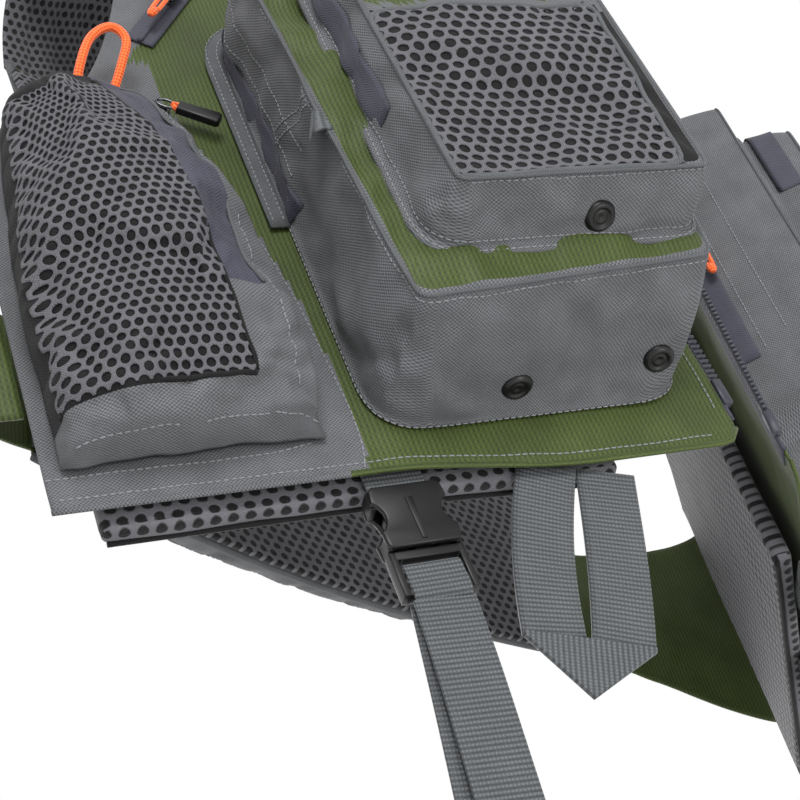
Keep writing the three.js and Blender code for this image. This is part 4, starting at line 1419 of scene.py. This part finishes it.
def wrapOver():
    # The webbing as it passes over the ladder's bars.
    stops = [(0, -22.6, 1.9), (0, -20.6, 3.6), (0, -16.8, 3.9), (0, -14.0, 3.6), (0, -10.0, 3.4),
             (0, -6.6, 2.8), (0, -5.0, 0.6), (0, -5.2, -1.4)]
    points = curveThrough(stops, 30)
    faces = []
    for i in range(30):
        ahead = points[min(i + 1, 29)] - points[max(i - 1, 0)]
        faces.append(Vector((1, 0, 0)).cross(ahead).normalized())
    points = [plugFrame @ p for p in points]
    return strapAlong("ladderWrap", points, 23.6, 1.5, "plug", faces)


wrapOver()
rodLoop = {"at": 78, "runLong": 73.5, "tipLong": 26, "slit": 2.2, "lean": -20, "webbing": 25}
loopDrop = rodLoop["webbing"] * math.sin(math.radians(20)) + 2 * leaf["air"]
loopFrame = frameAt((rodLoop["at"], hemLine(rodLoop["at"]) - loopDrop, buckle["hangDepth"]), rodLoop["lean"])


def rodLoopPiece():
    # Webbing sewn to the hem as two runs that meet in a folded, pointed tip.
    half = rodLoop["webbing"] / 2
    down = rodLoop["runLong"]
    bm = bmesh.new()
    for side, sway in ((-1, -3.0), (1, 1.2)):
        points = []
        for k in range(24):
            y = lerp(11, -down - 1, k / 23)
            spread = rodLoop["slit"] / 2 * smooth(-y, 0, down)
            x = side * (half + spread) + sway * math.sin(math.pi * k / 23)
            points.append(Vector((x, y, 0)))
        bodyOf(bm, ribbon(points, [Vector((0, 0, 1))] * 24, rodLoop["webbing"], 1.6, cols=6))
    half = rodLoop["webbing"] + rodLoop["slit"] / 2
    tip = outlinePlate([(-half, -down), (half, -down), (half, -down - 2), (0, -down - rodLoop["tipLong"]),
                        (-half, -down - 2)], 2.6, 0.6, 2)
    layer = tip.loops.layers.uv.new("UVMap")
    for face in tip.faces:
        for loop in face.loops:
            loop[layer].uv = (loop.vert.co.y, loop.vert.co.x)
    bodyOf(bm, tip)
    bm.transform(loopFrame)
    return finishPiece("rodLoop_R", bm, [webbing], None, "webbing", turnOut=True)


rodLoopR = rodLoopPiece()
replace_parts(rodLoopR, "rod_loop_R")
print("buckle, belt and rod loop are made")


# Cords, pulls and eyelets.

orangeLoop = [(-78, 202, 6), (-74, 216, 15), (-66, 232, 20), (-55, 240, 20), (-49, 233, 18),
              (-54, 219, 13), (-61, 205, 6)]
loopPoints = curveThrough(orangeLoop, 40)
sideLoop = finishPiece("sideCordLoop", tube(loopPoints, 2.2, sides=14), [cordBraid],
                       "right_front", "orange_cord")
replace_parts(sideLoop, "side_cord_loop")
for strap, points, far in ((runStrap, runPoints, "plug"), (tailStrap, tailPoints, "bare")):
    long = sum((b - a).length for a, b in zip(points, points[1:])) * millimetre

zipSlider = {"long": 11, "wide": 9, "high": 4.5}
pullTag = {"long": 40, "short": 30, "wide": 6, "thick": 4}


def turned(place, x=0, y=0, z=0):
    return (Matrix.Translation(place) @ Matrix.Rotation(math.radians(z), 4, "Z")
            @ Matrix.Rotation(math.radians(y), 4, "Y") @ Matrix.Rotation(math.radians(x), 4, "X"))


def sliderPiece(name, frame, body, matrix=onLeaf):
    # A zip slider: a waisted lower plate, a domed upper plate and the bridge for its pull.
    long, wide = zipSlider["long"], zipSlider["wide"]
    outline = [(-wide / 2, long / 2), (-wide * 0.44, 0), (-wide * 0.3, -long / 2),
               (wide * 0.3, -long / 2), (wide * 0.44, 0), (wide / 2, long / 2)]
    bm = outlinePlate(outline, 1.3, 0.4, 2)
    bmesh.ops.translate(bm, verts=bm.verts, vec=(0, 0, 1.1))
    upper = outlinePlate([(x * 0.96, y * 0.96) for x, y in outline], 1.3, 0.5, 3)
    bmesh.ops.translate(upper, verts=upper.verts, vec=(0, 0, 3.0))
    bodyOf(bm, upper)
    post = outlinePlate([(-1.2, 1), (1.2, 1), (1.2, 4.6), (-1.2, 4.6)], 2.2, 0.2, 1)
    bmesh.ops.translate(post, verts=post.verts, vec=(0, 0, 2.1))
    bodyOf(bm, post)
    bridge = curveThrough([(0, 4.2, 3.2), (0, 3.4, 4.6), (0, 0, 5.0), (0, -3.0, 4.4), (0, -3.8, 3.2)], 16)
    bodyOf(bm, tube(bridge, 0.75, sides=8, flatten=1.2))
    bm.transform(frame)
    return finishPiece(name, bm, [nickel], body, "dark_nickel", matrix=matrix, turnOut=True, angle=40)


def pullPiece(name, frame, body, long, matrix=onLeaf, grip=False):
    # A nickel link through the slider's bridge, then a doubled orange cord with a knot or a grip.
    high = zipSlider["high"] + 0.8 + pullTag["thick"] / 2
    ring = []
    for k in range(28):
        angle = 2 * math.pi * k / 28
        ring.append(Vector((2.5 * math.sin(angle), -3.2 + 4.4 * math.cos(angle), high)))
    bm = tube(ring, 0.7, sides=8, closed=True)
    count = len(bm.faces)
    stops = [(0.2, -6.4, high + 0.9), (-1.5, -9, high), (-1.7, -18, high - 0.2), (-1.5, -long + 7, high)]
    for side in (1, -1):
        leg = [(x * side, y, z) for x, y, z in stops]
        bodyOf(bm, tube(curveThrough(leg, 24), 1.25, sides=9))
    knot = tube([Vector((0, -long + 8.5 - k * 0.7, high)) for k in range(11)],
                lambda b: 0.6 + 2.0 * math.sin(math.pi * min(max(b, 0.04), 0.96)) ** 0.6, sides=12, flatten=0.8)
    if grip:
        bmesh.ops.scale(knot, vec=(0.5, 0.6, 0.6), verts=knot.verts)
        bmesh.ops.translate(knot, verts=knot.verts, vec=(0, -0.35 * long, high * 0.4))
    bodyOf(bm, knot)
    bm.faces.ensure_lookup_table()
    for face in bm.faces[count:]:
        face.material_index = 1
    if grip:
        block = outlinePlate([(-3.0, -9), (3.0, -9), (3.6, -long + 1.6), (2.4, -long + 0.4),
                              (-2.4, -long + 0.4), (-3.6, -long + 1.6)], 4.2, 0.9, 3)
        bmesh.ops.translate(block, verts=block.verts, vec=(0, 0, high))
        first = len(bm.faces)
        bodyOf(bm, block)
        bm.faces.ensure_lookup_table()
        for face in bm.faces[first:]:
            face.material_index = 2
    bm.transform(frame)
    return finishPiece(name, bm, [nickel, cordBraid, acetal], body, "orange_cord", matrix=matrix, turnOut=True)


def onGusset(made, low, high, up, deep):
    # A place on the zip side of a box pocket: shares of its height and of its depth.
    rear, front = made["rear"], made["front"]
    foot = lerp(rear[1][1], front[1][1], deep)
    head = lerp(rear[2][1], front[2][1], deep)
    s = lerp(rear[1][0], front[1][0], deep)
    return Vector((s + leaf["air"], lerp(foot, head, up), lerp(low, high, deep)))


smallBox = {"rear": [(24, 38), (146, 38), (146, 220), (24, 220)],
            "front": [(34, 50), (148, 50), (148, 212), (30, 212)]}
zipPlaces = {
    "main": (turned(onGusset(mainPocket, 0, 57, 0.6, 0.18), y=90), pullTag["long"], False),
    "small": (turned(onGusset(smallBox, 57.4, 85.4, 0.52, 0.55), y=90), pullTag["long"], False),
    "side": (turned((-40, 200, 0.4), z=58), pullTag["short"], True),
    "upper": (turned((-13, 286, 2.4), z=-36), pullTag["short"], False),
}
pairedPulls = []
for zipName, (seat, long, grip) in zipPlaces.items():
    slide = sliderPiece(f"{zipName}Slider_R", seat, f"{zipName}_R_slider")
    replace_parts(slide, f"{zipName}_R_slider")
    pull = pullPiece(f"{zipName}Pull_R", seat, f"{zipName}_R_pull", long, grip=grip)
    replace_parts(pull, f"{zipName}_R_pull")
    pairedPulls.append((slide, f"{zipName}_L_slider"))
    pairedPulls.append((pull, f"{zipName}_L_pull"))

eyelet = {"outer": 7, "high": 2.2}


def eyeletPiece(name, node, made, low, high, across, deep):
    # A pressed black eyelet: a domed rim round a sunken mesh button.
    rear, front = made["rear"], made["front"]
    s = lerp(lerp(rear[0][0], rear[1][0], across), lerp(front[0][0], front[1][0], across), deep)
    t = lerp(rear[0][1], lerp(front[0][1], front[1][1], across), deep)
    surface = onMain if made is mainPocket else onSmall
    out = Vector((0, -1, 0.2)).normalized()
    spot, normal = surface.nearest((s, t, lerp(low, high, deep)))
    bm = bmesh.new()
    outline = [(eyelet["outer"], -0.6), (eyelet["outer"], 0.5), (eyelet["outer"] - 1.2, 1.7), (5.0, eyelet["high"]),
               (3.9, 1.5), (3.4, 0.6), (2.9, 1.2), (1.8, 1.3), (0.9, 0.7), (0.0, 0.6)]
    verts = [bm.verts.new((x, 0, z)) for x, z in outline]
    edges = [bm.edges.new(pair) for pair in zip(verts, verts[1:])]
    bmesh.ops.spin(bm, geom=verts + edges, cent=(0, 0, 0), axis=(0, 0, 1), angle=2 * math.pi,
                   steps=36, use_merge=True)
    bmesh.ops.remove_doubles(bm, verts=bm.verts, dist=0.01)
    bmesh.ops.recalc_face_normals(bm, faces=bm.faces)
    if normal.dot(out) < 0:
        normal = -normal
    bm.normal_update()
    top = max(bm.faces, key=lambda f: f.calc_center_median().z)
    if top.normal.z < 0:
        bmesh.ops.reverse_faces(bm, faces=bm.faces)
    turn = normal.to_track_quat("Z", "Y").to_matrix().to_4x4()
    bm.transform(Matrix.Translation(spot + normal * 0.1) @ turn)
    piece = finishPiece(name, bm, [acetal], "right_front", "black_acetal")
    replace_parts(piece, node)
    return piece


eyeletPiece("drainEyelet1", "drain_eyelet_1", mainPocket, 0, 57, 0.42, 0.19)
eyeletPiece("drainEyelet2", "drain_eyelet_2", mainPocket, 0, 57, 0.885, 0.29)
eyeletPiece("pocketEyelet", "pocket_eyelet", smallBox, 57.4, 85.4, 0.6, 0.36)

tabRun = [Vector(p) for p in (
    (4, 130, 54), (5, 128.5, 58.2), (12, 128.4, 58.6), (19, 128.2, 58.6), (22, 128, 57),
)]
tabLine = curveThrough(tabRun, 16)
acrossTab = []
for i in range(16):
    ahead = tabLine[min(i + 1, 15)] - tabLine[max(i - 1, 0)]
    acrossTab.append(ahead.cross(Vector((0.25, 0.97, 0))).normalized())
strapAlong("sideTab_R", tabLine, 27, 1.5, "right_front", acrossTab)
print("cords, pulls and eyelets are made")
sewnThread("stitching_R", "right_front")


# Back, shoulders and sides.

back = {
    "halfWidth": 200, "bottom": -400, "top": -95, "sideDepth": 95, "crown": 17, "thick": 3, "lining": 7,
    "liningDrop": 14, "neckHalf": 78, "neckRise": 64, "armholeBottom": -312, "armholeIn": 26, "bend": 0.84,
}
backPocket = {
    "half": 150, "bottom": -384, "top": -205, "depth": 34, "sideRound": 0.16, "topRound": 0.2,
}
shoulder = {
    "thick": 8, "frontRise": 150, "backRise": 110, "gap": 3, "behind": 2, "neckShare": 0.7,
    "outerLower": 0.12, "channels": 5, "overlap": 0.014,
}
wing = {"low": 28, "belowUnderarm": 8, "gap": 5, "leave": 34, "arrive": 52}
collar = {
    "high": 34, "rise": 7, "skirt": 6, "dip": 30, "centre": 18, "side": 76, "back": 86, "start": 12,
}
fromLeaf = inWorld.inverted() @ onLeaf        # leaf millimetres to the vest's own millimetres


def bezier(p0, p1, p2, p3, x):
    y = 1 - x
    return p0 * y ** 3 + p1 * 3 * x * y * y + p2 * 3 * x * x * y + p3 * x ** 3


def crownAt(x):
    return back["sideDepth"] + back["crown"] * (1 - (x / back["halfWidth"]) ** 2)


def backAt(a, b, inset=0.0, lower=0.0):
    share = lerp(1, -1, a)
    level = lerp(back["bottom"], back["top"], b)
    up = max(0, (level - back["armholeBottom"]) / (back["top"] - back["armholeBottom"]))
    x = share * (back["halfWidth"] - back["armholeIn"] * math.sin(math.pi * min(1, up * back["bend"])))
    toNeck = 1 - smooth(abs(x), back["neckHalf"], back["halfWidth"])
    return Vector((x, crownAt(x) - inset, level + (back["neckRise"] * toNeck - lower) * b ** 3))


def backPanel():
    bm = gridShape(72, 56, lambda a, b: backAt(a, b, -2.4))
    crumple(bm, 45, 1.6, seed=12)
    piece = finishPiece("backPanel", bm, [olive], "back", "olive_nylon", matrix=inWorld)
    thicken(piece, 1.6)
    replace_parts(piece, "back_panel")
    return piece


def backLining():
    bm = gridShape(60, 48, lambda a, b: backAt(a, b, back["lining"] * 0.55, back["liningDrop"] * 0.7))
    crumple(bm, 38, 1.1, seed=15)
    piece = finishPiece("backLining", bm, [lining], "back", "spacer_mesh", matrix=inWorld)
    thicken(piece, 4.0, 0)
    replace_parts(piece, "back_lining")
    return piece


def backPocketShell():
    made = backPocket

    def place(a, b):
        x = lerp(made["half"], -made["half"], a)
        edge = min(a, 1 - a)
        round_ = smooth(edge, 0, made["sideRound"]) * smooth(1 - b, 0, made["topRound"])
        round_ = round_ * smooth(b, -0.02, 0.07)
        out = 1.5 + (made["depth"] - 4) * round_
        return Vector((x, crownAt(x) + back["thick"] + out, lerp(made["bottom"], made["top"], b)))

    def paint(a, b):
        if 0.86 < b < 0.94:
            return 1
        return 2 if 0.16 < a < 0.84 and 0.1 < b < 0.8 else 0

    bm = gridShape(72, 52, place, paint=paint)
    crumple(bm, 30, 1.6, seed=21)
    piece = finishPiece("backPocket", bm, [grey, tape, olive], None, "grey_oxford", matrix=inWorld)

    def pinned(vert):
        at = vert.co / millimetre
        return abs(at.x) > 143 or at.z < -380 or at.z > -214

    settleCloth(piece, pinned, growth=0.03, pressure=0.3, cap=4)
    applyModifiers(subdivide(thicken(piece, 1.0)))
    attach(piece, "back")
    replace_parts(piece, "back_pocket")
    return piece


backPiece = backPanel()
backLining()
backBag = backPocketShell()
onBack = Surface(backPiece, inWorld)
onBag = Surface(backBag, inWorld)
for b in (0.012, 0.985):
    sew(onBack, [backAt(lerp(0.01, 0.99, k / 60), b, -4) for k in range(61)])
for share in (0.02, 0.98):
    sew(onBack, [backAt(share, lerp(0.02, 0.98, k / 40), -4) for k in range(41)])
for b in (0.03, 0.82, 0.96):
    sew(onBag, [Vector((lerp(147, -147, k / 60), 150, lerp(backPocket["bottom"], backPocket["top"], b)))
                for k in range(61)])
sewnThread("stitching_back", "back", inWorld)


def edgeTube(name, points, radius, material, body, slot, matrix=inWorld, flatten=0.8):
    bm = tube(points, radius, sides=8, flatten=flatten)
    return finishPiece(name, bm, [material], body, slot, matrix=matrix)


for name, share in (("backArmholeBinding_R", 0.998), ("backArmholeBinding_L", 0.002)):
    edgeTube(name, [backAt(share, lerp(0.02, 1, k / 40), -1) for k in range(41)], 2.6, bindingTape,
             "back", "grey_oxford")
edgeTube("backHemBinding", [backAt(lerp(0, 1, k / 60), 0.004, -1) for k in range(61)], 2.6, bindingTape,
         "back", "grey_oxford")


def padAt(a, b, lift=0.0):
    frontLevel = leaf["shoulder"] + shoulder["gap"]
    behind = -leaf["air"] - leaf["thick"] - shoulder["behind"]
    inner = fromLeaf @ Vector((leaf["shoulderInner"], frontLevel, behind))
    outer = fromLeaf @ Vector((leaf["shoulderOuter"], frontLevel, behind))
    up = (fromLeaf.to_3x3() @ Vector((0, 1, 0))).normalized()
    start = inner.lerp(outer, a)
    end = backAt(lerp(shoulder["neckShare"], 1, a), 1) + Vector((0, 0, shoulder["gap"]))
    lower = 1 - shoulder["outerLower"] * a
    rise = start + up * shoulder["frontRise"] * lower
    fall = end + Vector((0, 0, shoulder["backRise"] * lower))
    at = bezier(start, rise, fall, end, 1 - b)
    if lift:
        step = 0.01
        across = padAt(min(a + step, 1), b) - padAt(max(a - step, 0), b)
        upward = padAt(a, b + step) - padAt(a, b - step)
        at = at + across.cross(upward).normalized() * lift
    return at


def shoulderPad():
    # Foam between two cloths, quilted into soft lengthwise channels that close at the edges.
    thick = shoulder["thick"]

    def place(a, b):
        # a goes round the pad: over the outside, then back along the underside
        over = a < 0.5
        across = 2 * a if over else 2 - 2 * a
        ridge = abs(math.sin(math.pi * across * shoulder["channels"])) ** 0.5
        ends = smooth(min(b, 1 - b), -0.01, 0.05)
        along = lerp(-shoulder["overlap"], 1 + shoulder["overlap"], b)
        swell = (0.35 + 0.65 * ridge) * math.sin(math.pi * min(max(across, 0.03), 0.97)) ** 0.25
        half = thick / 2 * swell * lerp(0.3, 1, ends)
        return padAt(across, along, thick / 2 + (half if over else -half * 0.6))

    bm = gridShape(80, 64, place, paint=lambda a, b: 0 if a < 0.5 else 1, closed=True)
    bmesh.ops.holes_fill(bm, edges=[e for e in bm.edges if e.is_boundary], sides=0)
    bmesh.ops.recalc_face_normals(bm, faces=bm.faces)
    piece = finishPiece("shoulderPad_R", bm, [grey, lining], None, "grey_oxford", matrix=inWorld)
    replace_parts(piece, "shoulder_pad_R")
    return piece


def wingAt(a, b):
    high = leaf["underarm"] - wing["belowUnderarm"]
    behind = -leaf["air"] - leaf["thick"]
    top = (fromLeaf @ Vector((leaf["side"], high, 0))).z
    start = fromLeaf @ Vector((leaf["side"] - wing["gap"], lerp(wing["low"], high, b), behind))
    level = lerp(back["bottom"] + wing["gap"], top, b)
    end = Vector((-back["halfWidth"] - wing["gap"], back["sideDepth"], level))
    along = (fromLeaf.to_3x3() @ Vector((1, 0, 0))).normalized()
    return bezier(end, end + Vector((-wing["arrive"], 0, 0)), start - along * wing["leave"], start, a)


def sideWing():
    # The olive side panel, drawn a little past both seams so that they close.
    def place(a, b):
        across = lerp(-0.035, 1.035, a)
        return wingAt(across, b)

    bm = gridShape(50, 40, place)
    crumple(bm, 36, 2.2, lambda at: smooth(min(at.z + 480, -at.z - 250), 0, 40), seed=31)
    piece = finishPiece("sideWing_R", bm, [olive], None, "olive_nylon", matrix=inWorld)
    thicken(piece, 1.6, 0)
    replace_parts(piece, "side_wing_R")
    return piece


padRight = shoulderPad()
wingRight = applyModifiers(sideWing())


def collarPiece():
    def place(a, b):
        angle = math.radians(lerp(collar["start"], 180 - collar["start"], a))
        x = collar["side"] * math.cos(angle)
        y = collar["centre"] + collar["back"] * math.sin(angle)
        level = lerp(-collar["skirt"], collar["high"], b)
        puff = 1.6 * math.sin(math.pi * b) ** 0.5
        z = collar["rise"] + level - collar["dip"] * math.sin(math.pi * a) ** 2
        return Vector((x + puff * math.cos(angle), y + puff * math.sin(angle), z))

    bm = gridShape(64, 12, place)
    bm.normal_update()
    crumple(bm, 22, 0.8, seed=41)
    piece = finishPiece("collarPad", bm, [grey], "back", "grey_oxford", matrix=inWorld)
    thicken(piece, 5.0, 0)
    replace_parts(piece, "collar")
    return applyModifiers(subdivide(piece))


collarPad = collarPiece()
netTab = {"wide": 16, "thick": 2.4, "long": 30, "level": -112}
netRing = {"radius": 12, "wire": 1.6, "out": 2}
tabBase = crownAt(0) + back["thick"] + leaf["air"]


def netTabPiece():
    half = netTab["long"] / 2
    stops = [(0, tabBase + 0.6, netTab["level"] + half), (0, tabBase + 0.8, netTab["level"]),
             (0, tabBase + 0.8, netTab["level"] - half + 1), (0, tabBase + 1.9, netTab["level"] - half + 1)]
    points = curveThrough(stops[:3], 14)
    bm = ribbon(points, [Vector((0, 1, 0))] * 14, netTab["wide"], 1.5, cols=6)
    piece = finishPiece("netTab", bm, [webbing], "back", "webbing", matrix=inWorld, turnOut=True)
    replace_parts(piece, "net_ring_tab")
    return piece


def netRingPiece():
    level = netTab["level"] - netTab["long"] / 2 - leaf["air"] - netRing["radius"] - netRing["wire"]
    ring = []
    for k in range(48):
        angle = 2 * math.pi * k / 48
        ring.append(Vector((netRing["radius"] * math.cos(angle), tabBase + netRing["out"],
                            level + netRing["radius"] * math.sin(angle))))
    bm = tube(ring, netRing["wire"], sides=12, face=Vector((0, 1, 0)), closed=True)
    piece = finishPiece("netRing", bm, [nickel], "net_ring", "dark_nickel", matrix=inWorld)
    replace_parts(piece, "net_ring")
    return piece


netTabPiece()
netRingPiece()
hanger = curveThrough([(-22, 103, -22), (-16, 104, -10), (0, 105, -3), (16, 104, -10), (22, 103, -22)], 30)
bm = ribbon(hanger, [Vector((0, 1, 0))] * 30, 10, 1.4, cols=4)
finishPiece("hangLoop", bm, [webbing], "back", "webbing", matrix=inWorld, turnOut=True)
backSeat = (Matrix.Translation((60, 0, -195)) @ Matrix.Rotation(math.pi, 4, "Z")
            @ Matrix.Rotation(-math.pi / 2, 4, "X") @ turned((0, 0, crownAt(0) + back["thick"] + leaf["air"]), z=-90))
backSlide = sliderPiece("backSlider", backSeat, "back_slider", matrix=inWorld)
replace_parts(backSlide, "back_slider")
backTag = pullPiece("backPull", backSeat, "back_pull", pullTag["long"], matrix=inWorld)
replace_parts(backTag, "back_pull")
print("back, shoulders and sides are made")


# Bodies, left-hand copies and baked transforms.

for piece, node in ((panel, "front_panel_R"), (mainShell, "main_pocket_R"), (smallShell, "small_pocket_R"),
                    (sideShell, "side_pocket_R")):
    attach(piece, "right_front")
    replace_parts(piece, node)

frontSeat = turned((leaf["edge"] + 3.15, 228, 0))
frontSlide = sliderPiece("frontSlider_R", frontSeat, None)
frontTag = pullPiece("frontPull_R", frontSeat, None, pullTag["long"])

leftBodies = {piece.name: body for piece, body in pairedPulls}
leftBodies["buckleSocket_R"] = "buckle_L"
leftBodies["socketTab_R"] = "left_front"
for piece in (rodLoopR, padRight, wingRight):
    leftBodies[piece.name] = None
unpaired = ("backArmholeBinding_R", "frontSlider_R", "frontPull_R")
rightPieces = [o for o in bpy.data.objects if o.type == "MESH" and o.name.endswith("_R") and "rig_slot" in o]
leftPieces = {}
for piece in rightPieces:
    if piece.name not in unpaired:
        stands = [other(node) for node in piece.get("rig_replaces", [])]
        leftPieces[piece.name] = mirrored(piece, leftBodies.get(piece.name, "left_front"), stands)
for piece, name, body in ((frontSlide, "frontSlider", "front_slider"), (frontTag, "frontPull", "front_pull")):
    piece.data.transform(mirrorX)
    piece.data.flip_normals()
    piece.name = name
    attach(piece, body)
    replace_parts(piece, body)


def mirrorPoint(point):
    return mirrorX @ point


def joinSpan(place, low, high):
    # The start and end of a span along a piece, with the whole of each end row outside it.
    aim = (place(0.5, high) - place(0.5, low)).normalized()
    first = max(aim.dot(place(k / 8, low)) for k in range(9))
    last = min(aim.dot(place(k / 8, high)) for k in range(9))
    return inWorld @ (aim * first), inWorld @ (aim * last)


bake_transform(rodLoopR)
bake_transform(leftPieces["rodLoop_R"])
padStart, padEnd = joinSpan(padAt, 0.03, 0.97)
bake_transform(padRight)
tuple(padStart)
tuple(padEnd)
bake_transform(leftPieces["shoulderPad_R"], "back", "left_front", start=mirrorPoint(padStart), end=mirrorPoint(padEnd))
wingStart, wingEnd = joinSpan(lambda across, share: wingAt(share, across), 0.06, 0.97)
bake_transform(wingRight)
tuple(wingStart)
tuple(wingEnd)
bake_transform(leftPieces["sideWing_R"], "back", "left_front", start=mirrorPoint(wingStart), end=mirrorPoint(wingEnd))


for node in ("prong_1", "prong_2"):
    for prong in [o for o in bpy.data.objects if o.get("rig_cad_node") == node]:
        prong.data.materials.clear()
        prong.data.materials.append(acetal)
        print("acetal on", prong.name)
